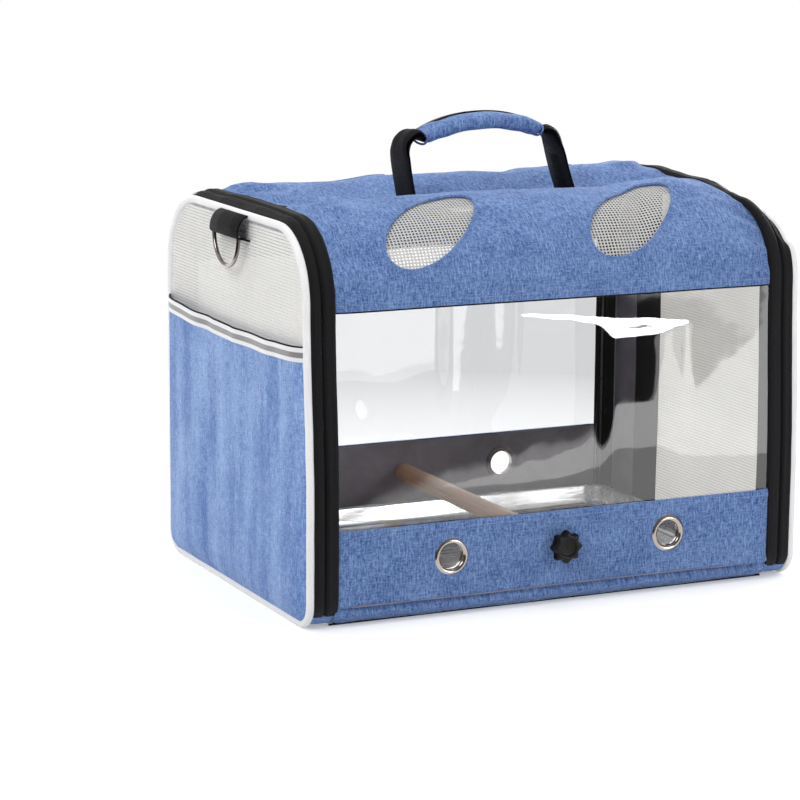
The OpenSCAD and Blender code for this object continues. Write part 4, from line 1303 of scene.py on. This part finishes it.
def swell(obj, context, voxel, limit, pressure):
    """Blows a padded piece up a little as cloth, within a limit, and smooths it."""
    remesh = obj.modifiers.new("even", "REMESH")
    remesh.mode, remesh.voxel_size = "VOXEL", voxel
    settle(obj)
    start = [vert.co.copy() for vert in obj.data.vertices]
    cloth = obj.modifiers.new("cloth", "CLOTH")
    settings = cloth.settings
    settings.use_pressure, settings.uniform_pressure_force = True, pressure
    settings.tension_stiffness = settings.compression_stiffness = 15
    settings.bending_stiffness = 0.5
    settings.effector_weights.gravity = 0
    frames = 20
    cloth.point_cache.frame_start, cloth.point_cache.frame_end = 1, frames
    scene = context.scene
    for at in range(1, frames + 1):
        scene.frame_set(at)
    made = bpy.data.meshes.new_from_object(obj.evaluated_get(context.evaluated_depsgraph_get()))
    obj.modifiers.clear()
    obj.data = made
    scene.frame_set(1)
    for vert, old in zip(obj.data.vertices, start):
        move = vert.co - old
        if move.length > limit:
            vert.co = old + move.normalized() * limit
    smooth = obj.modifiers.new("rounder", "SUBSURF")
    smooth.levels = smooth.render_levels = 1
    settle(obj)


# ---- Fittings ----

class CARRIER_OT_grommets(bpy.types.Operator):
    """Makes the four plated grommets with rolled lips"""
    bl_idname = "carrier.grommets"
    bl_label = "Grommets"

    def execute(self, context):
        # The section: (out from the bore, out from the wall), with the barrel's two ends at a fixed depth
        barrel = ((-0.0002, -0.001), (-0.0005, 0.0002), (-0.0001, 0.0013), (0.0011, 0.0021), (0.0021, 0.0024),
                  (0.0031, 0.0020), (0.0037, 0.0012), (0.0049, 0.0006), (0.0051, 0.0001), (0.0041, -0.0001),
                  (0.0020, -0.0001), (0.0007, -0.0008))
        profile = [(BORE_R, BARREL_Y)] + [(BORE_R + r, WALL_Y + y) for r, y in barrel] + [(BORE_R + 0.0007, BARREL_Y)]
        for name, side in SIDES:
            for end, way in ENDS:
                piece(f"{name}_{end}_eyelet", turned(profile, (way * GROMMET_X, FITTING_Z), side, 72), "nickel",
                      "carrier", (f"{name}_{end}_grommet",), sharp=50)
        return {"FINISHED"}


class CARRIER_OT_perch(bpy.types.Operator):
    """Makes the wooden perch between the lower walls"""
    bl_idname = "carrier.perch"
    bl_label = "Perch"

    def execute(self, context):
        r, end, bore, deep = 0.0075, 0.1384, 0.0046, 0.014
        nose = [(bore, end), (r - 0.0010, end), (r - 0.0003, end - 0.0004), (r, end - 0.0012)]
        profile = nose + [(r, y) for y in spread(end - 0.0012, 0.0012 - end, 25)[1:-1]]
        profile += [(x, -y) for x, y in reversed(nose)]
        profile += [(bore, deep - end), (0.0002, deep - end), (0.0002, end - deep), (bore, end - deep)]
        piece("perch_rod", turned(profile, (0, FITTING_Z), 1, 40), "wood", "carrier",
              ("perch_dowel",), sharp=40)
        return {"FINISHED"}


class CARRIER_OT_knobs(bpy.types.Operator):
    """Makes the two star knobs that hold the perch"""
    bl_idname = "carrier.knobs"
    bl_label = "Star knobs"

    def execute(self, context):
        base, outer_r = WALL_Y + 0.0015, 0.0130
        # Radius, height above the wall and how much of the star's hollows there is
        profile = ((0.0032, 0.0, 0), (0.0062, 0.0, 0), (0.0068, 0.0006, 0), (0.0068, 0.0024, 0), (0.0074, 0.0031, 0.2),
                   (0.0108, 0.0034, 0.8), (0.0124, 0.0040, 1), (outer_r, 0.0052, 1), (outer_r, 0.0082, 1),
                   (0.0126, 0.0096, 1), (0.0116, 0.0105, 0.9), (0.0100, 0.0110, 0.6), (0.0080, 0.0110, 0.25),
                   (0.0070, 0.0108, 0.1), (0.0062, 0.0098, 0), (0.0040, 0.0095, 0), (0.0004, 0.0095, 0),
                   (0.0004, 0.0060, 0), (0.0032, 0.0060, 0))
        n = len(profile)
        for name, side in SIDES:
            def place(u, v):
                r, y, lobes = profile[round(v * n) % n]
                a = math.tau * u
                r -= lobes * 0.0026 * (0.5 - 0.5 * math.cos(8 * a)) ** 0.8 * (r / outer_r)
                return Vector((r * math.cos(a), side * (base + y), FITTING_Z + r * math.sin(a)))
            piece(f"{name}_star_knob", moved_grid(144, n, place, (0.08, 0.03), shut=True), "plastic",
                  f"{name}_knob_body", (f"{name}_knob",), sharp=42)
        return {"FINISHED"}


class CARRIER_OT_tray(bpy.types.Operator):
    """Makes the pressed steel tray with rounded corners and a rolled rim"""
    bl_idname = "carrier.tray"
    bl_label = "Tray"

    def execute(self, context):
        low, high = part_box("tray")
        half_l, half_w = high.x, high.y
        floor_z, corner_r = low.z + 0.0009, 0.022
        rim = ((0.0009, -0.0010), (0.0004, -0.0006), (0.0004, -0.0002), (0.0012, 0.0), (0.0034, -0.0001),
               (0.0046, -0.0008), (0.0051, -0.0022))
        wall = ((0.0062, 0.008), (0.0072, 0.0045), (0.0095, 0.0018), (0.0135, 0.0010), (0.0200, 0.00085),
                (0.0215, 0.0012), (0.0230, 0.0009))
        profile = [(inset, high.z + z) for inset, z in rim] + [(inset, low.z + z) for inset, z in wall]
        profile += [(inset, floor_z) for inset in (0.045, 0.075, 0.105, half_w - 0.004)]

        def round_box(inset, u):
            """A point of a rounded rectangle drawn in by inset, at a share u round it."""
            r = max(corner_r - inset, 0.0015)
            a, b = half_l - inset - r, half_w - inset - r
            quarter = int(u * 4) % 4
            t = u * 4 - int(u * 4)
            sx, sy = ((1, 1), (-1, 1), (-1, -1), (1, -1))[quarter]
            turn = math.radians(90 * quarter + 90 * clamp01((t - 0.25) * 2))
            before, after = min(t / 0.25, 1.0), min((1 - t) / 0.25, 1.0)    # under 1 along the two straights
            if quarter not in (0, 2):
                before, after = after, before
            return sx * a * after + r * math.cos(turn), sy * b * before + r * math.sin(turn)

        def place(u, v):
            inset, z = profile[round(v * (len(profile) - 1))]
            return Vector((*round_box(inset, u % 1.0), z))
        bm = moved_grid(160, len(profile) - 1, place, (1.2, 0.15))
        bmesh.ops.remove_doubles(bm, verts=bm.verts, dist=2e-6)
        middle = [edge for edge in bm.edges if edge.is_boundary and abs(edge.verts[0].co.z - floor_z) < 0.0001
                  and abs(edge.verts[0].co.y) < 0.02]
        bmesh.ops.holes_fill(bm, edges=middle, sides=0)
        face_away(bm, Vector((0, 0, -1)))
        piece("steel_tray", bm, "tray_steel", "tray_body", ("tray",), wall=0.0007, sharp=45)
        return {"FINISHED"}


class CARRIER_OT_sliders(bpy.types.Operator):
    """Makes the two zip sliders and their pulls"""
    bl_idname = "carrier.sliders"
    bl_label = "Zip sliders"

    def execute(self, context):
        for name, side in ENDS:
            low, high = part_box(f"{name}_slider")
            x = (low.x + high.x) / 2
            bm = bmesh.new()
            plate_into(bm, (0.0088, 0.0016, 0.0118), 0.72, True, (x, SLIDER_Y + 0.0009, 0.040), 0.0006, 2)
            bridge = [Vector((x + 0.0001, SLIDER_Y + mix(0.0012, 0.0052, math.sin(math.pi * t) ** 0.7),
                              mix(0.0345, 0.0452, t))) for t in spread(0.0, 1.0, 13)]
            sweep_into(bm, bridge, flat_ring(0.0021, 0.0009, 2), (1, 0, 0))
            close_up(bm)
            piece(f"{name}_zip_slider", bm, "black_metal", f"{name}_slider_body", (f"{name}_slider",),
                  sharp=35)

            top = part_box(f"{name}_pull")[1].z - 0.0019
            wide = 0.0068
            bm = bmesh.new()
            eye = [Vector((x + wide * 0.36 * math.cos(a), PULL_Y, top - 0.0034 + 0.0050 * math.sin(a)))
                   for a in circle(40)]
            sweep_into(bm, eye, round_ring(0.0008, 8), (0, 1, 0), closed=True)
            plate_into(bm, (wide, 0.0016, 0.0200), 0.66, False, (x, PULL_Y, top - 0.0175), 0.0007, 3)
            for k in range(4):
                rod_into(bm, (x, PULL_Y + 0.0008, top - 0.0165 - 0.0022 * k), LENGTHWISE, 0.0004, 0.0046, 6)
            close_up(bm)
            piece(f"{name}_zip_pull", bm, "black_metal", f"{name}_pull_body", (f"{name}_pull",),
                  sharp=35)
        return {"FINISHED"}


class CARRIER_OT_plain_fittings(bpy.types.Operator):
    """Gives the remaining boards, washers, studs, inserts and wires their materials"""
    bl_idname = "carrier.plain_fittings"
    bl_label = "Plain fittings"

    def execute(self, context):
        wanted = {"base_board": "board", "left_rim_wire": "spring_wire", "right_rim_wire": "spring_wire",
                  "grommet_washers": "nickel", "perch_inserts": "brass", "front_knob_stud": "stud_steel",
                  "rear_knob_stud": "stud_steel", "knob_washers": "plastic"}
        for node, name in wanted.items():
            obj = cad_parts[node]
            obj.data.materials.clear()
            obj.data.materials.append(finish(name))
        return {"FINISHED"}


# ---- Stage ----

class CARRIER_OT_stage(bpy.types.Operator):
    """Sets the pale floor, the soft lights and the camera"""
    bl_idname = "carrier.stage"
    bl_label = "Stage"

    def execute(self, context):
        stage = context.scene.carrier_stage
        r = Recipe("floor")
        paper = r.mix(r.around(r.noise(3, 3, 0.5)), (0.80, 0.80, 0.80, 1), (0.83, 0.83, 0.83, 1))
        lit = r.add("ShaderNodeBsdfDiffuse", {"Color": paper}).outputs[0]
        seen = r.add("ShaderNodeLightPath").outputs
        both = r.add("ShaderNodeAddShader", {0: lit, 1: r.glow(0.34)}).outputs[0]
        # The camera sees it fade to white. To glossy rays it glows, dim on one side of a sharp edge and bright on the
        # other, a painted reflection that glossy pieces mirror as a veil
        away = r.add("ShaderNodeVectorMath", {0: r.coords((1, 1, 0))}, operation="LENGTH").outputs["Value"]
        shown = r.either(seen["Is Camera Ray"], lit, r.either(r.span(away, 0.38, 0.85), both, r.glow(1.0)))
        edge = r.dot(r.coords(), (0.78, 0.62, 0.0))
        r.done(r.either(seen["Is Glossy Ray"], shown, r.glow(r.span(edge, -0.31, -0.28, 0.06, 1.9))))
        bm = bmesh.new()
        bmesh.ops.create_grid(bm, x_segments=4, y_segments=4, size=9.0)
        mesh = bpy.data.meshes.new("floor")
        bm.to_mesh(mesh)
        bm.free()
        mesh.materials.append(r.material)
        floor = bpy.data.objects.new("floor", mesh)
        context.scene.collection.objects.link(floor)

        # A white room: brightest overhead and behind, dim on the photographer's side
        world = bpy.data.worlds.new("surroundings")
        world.use_nodes = True
        r.tree = world.node_tree
        r.tree.nodes.clear()
        toward = r.add("ShaderNodeTexCoord").outputs["Generated"]
        high = r.span(r.add("ShaderNodeSeparateXYZ", {0: toward}).outputs[2], 0.0, 0.8, 0.7, 1.0)
        behind = r.span(r.dot(toward, (0.30, 0.95, 0.0)), -0.85, 0.15, 0.28, 1.0)
        seen = r.add("ShaderNodeLightPath").outputs
        straight = r.math("MAXIMUM", seen["Is Camera Ray"], seen["Is Transmission Ray"])
        plain, white = (r.add("ShaderNodeBackground", {0: (1, 1, 1, 1), 1: strength}).outputs[0]
                        for strength in (r.times(r.times(high, behind), stage.sky), 1.0))
        r.add("ShaderNodeOutputWorld", {0: r.either(straight, plain, white)})
        context.scene.world = world

        lamps = {name: self.lamp(context, name, *values) for name, *values in (
            ("key_light", stage.key, (1.3, 1.3), (-1.9, -1.1, 1.7), (0, 0, 0.15)),
            ("top_light", stage.top, (2.2, 1.6), (0.2, 0.3, 2.2), (0, 0, 0.2)),
            ("fill_light", stage.fill, (0.9, 1.4), (1.5, -2.2, 1.0), (0, 0, 0.15)),
            ("streak_card", 22.0, (0.7, 0.58), (1.05, -1.85, 0.50), (0.05, -0.14, 0.2)),
            ("right_light", stage.right, (1.4, 1.2), (1.5, 0.75, 0.5), (0.2, 0, 0.15)),
            ("rear_light", stage.rear, (1.8, 0.8), (0.35, 1.7, 0.40), (-0.1, 0, 0.1)),
            ("veil_card", 2.2, (0.9, 0.4), (0.345, -0.6, -0.122), (0.345, 0.0, -0.122)))}
        for name in ("right_light", "rear_light"):
            lamps[name].visible_camera = lamps[name].visible_transmission = False
        for name in ("streak_card", "veil_card"):
            lamps[name].visible_diffuse = lamps[name].visible_camera = False
        along, across = math.cos(VEIL_TURN), math.sin(VEIL_TURN)
        lamps["veil_card"].rotation_euler = Matrix((
            (along, -across, 0), (0, 0, -1), (across, along, 0))).to_euler()

        cam = bpy.data.cameras.new("photo_camera")
        cam.sensor_width, cam.lens, cam.clip_start, cam.clip_end = 36.0, stage.lens, 0.05, 60.0
        eye = bpy.data.objects.new("photo_camera", cam)
        context.scene.collection.objects.link(eye)
        look = Vector(CAMERA_LOOK).normalized()
        right = look.cross(Vector((0, 0, 1))).normalized()
        up = right.cross(look)
        level, lean = math.cos(CAMERA_LEAN), math.sin(CAMERA_LEAN)
        right, up = right * level + up * lean, up * level - right * lean
        turn = Matrix((right, up, -look)).transposed().to_4x4()
        eye.matrix_world = Matrix.Translation(CAMERA_AT) @ turn
        context.scene.camera = eye
        context.scene.view_settings.view_transform = "Standard"
        return {"FINISHED"}

    @staticmethod
    def lamp(context, name, power, size, at, toward):
        light = bpy.data.lights.new(name, "AREA")
        light.shape, light.size, light.size_y, light.energy = "RECTANGLE", size[0], size[1], power
        lamp = bpy.data.objects.new(name, light)
        context.scene.collection.objects.link(lamp)
        lamp.location = at
        lamp.rotation_euler = (Vector(toward) - Vector(at)).to_track_quat("-Z", "Y").to_euler()
        return lamp


class CARRIER_PT_parts(bpy.types.Panel):
    """Lists the carrier's sizes, colours and parts"""
    bl_idname = "CARRIER_PT_parts"
    bl_label = "Bird travel carrier"
    bl_space_type = "VIEW_3D"
    bl_region_type = "UI"
    bl_category = "Carrier"

    def draw(self, context):
        layout = self.layout
        for group in GROUPS:
            box = layout.box()
            values = getattr(context.scene, group)
            for key in values.__annotations__:
                box.prop(values, key)
        column = layout.column(align=True)
        for operator in OPERATORS:
            column.operator(operator.bl_idname)


OPERATORS = (
    CARRIER_OT_stage, CARRIER_OT_top_panels, CARRIER_OT_vent_meshes, CARRIER_OT_top_seam, CARRIER_OT_lower_walls,
    CARRIER_OT_windows, CARRIER_OT_zippers, CARRIER_OT_end_doors, CARRIER_OT_pocket, CARRIER_OT_rings,
    CARRIER_OT_handle, CARRIER_OT_grommets, CARRIER_OT_perch, CARRIER_OT_knobs, CARRIER_OT_tray,
    CARRIER_OT_sliders, CARRIER_OT_plain_fittings,
)
GROUPS = {"carrier_sizes": CarrierSizes, "carrier_colours": CarrierColours, "carrier_stage": CarrierStage}
CLASSES = (*GROUPS.values(), *OPERATORS, CARRIER_PT_parts)


def register():
    for cls in CLASSES:
        bpy.utils.register_class(cls)
    for name, group in GROUPS.items():
        setattr(bpy.types.Scene, name, bpy.props.PointerProperty(type=group))


def unregister():
    for name in GROUPS:
        delattr(bpy.types.Scene, name)
    for cls in reversed(CLASSES):
        bpy.utils.unregister_class(cls)


def main():
    register()
    for operator in OPERATORS:
        group, name = operator.bl_idname.split(".")
        getattr(getattr(bpy.ops, group), name)()


if __name__ == "__main__":
    main()
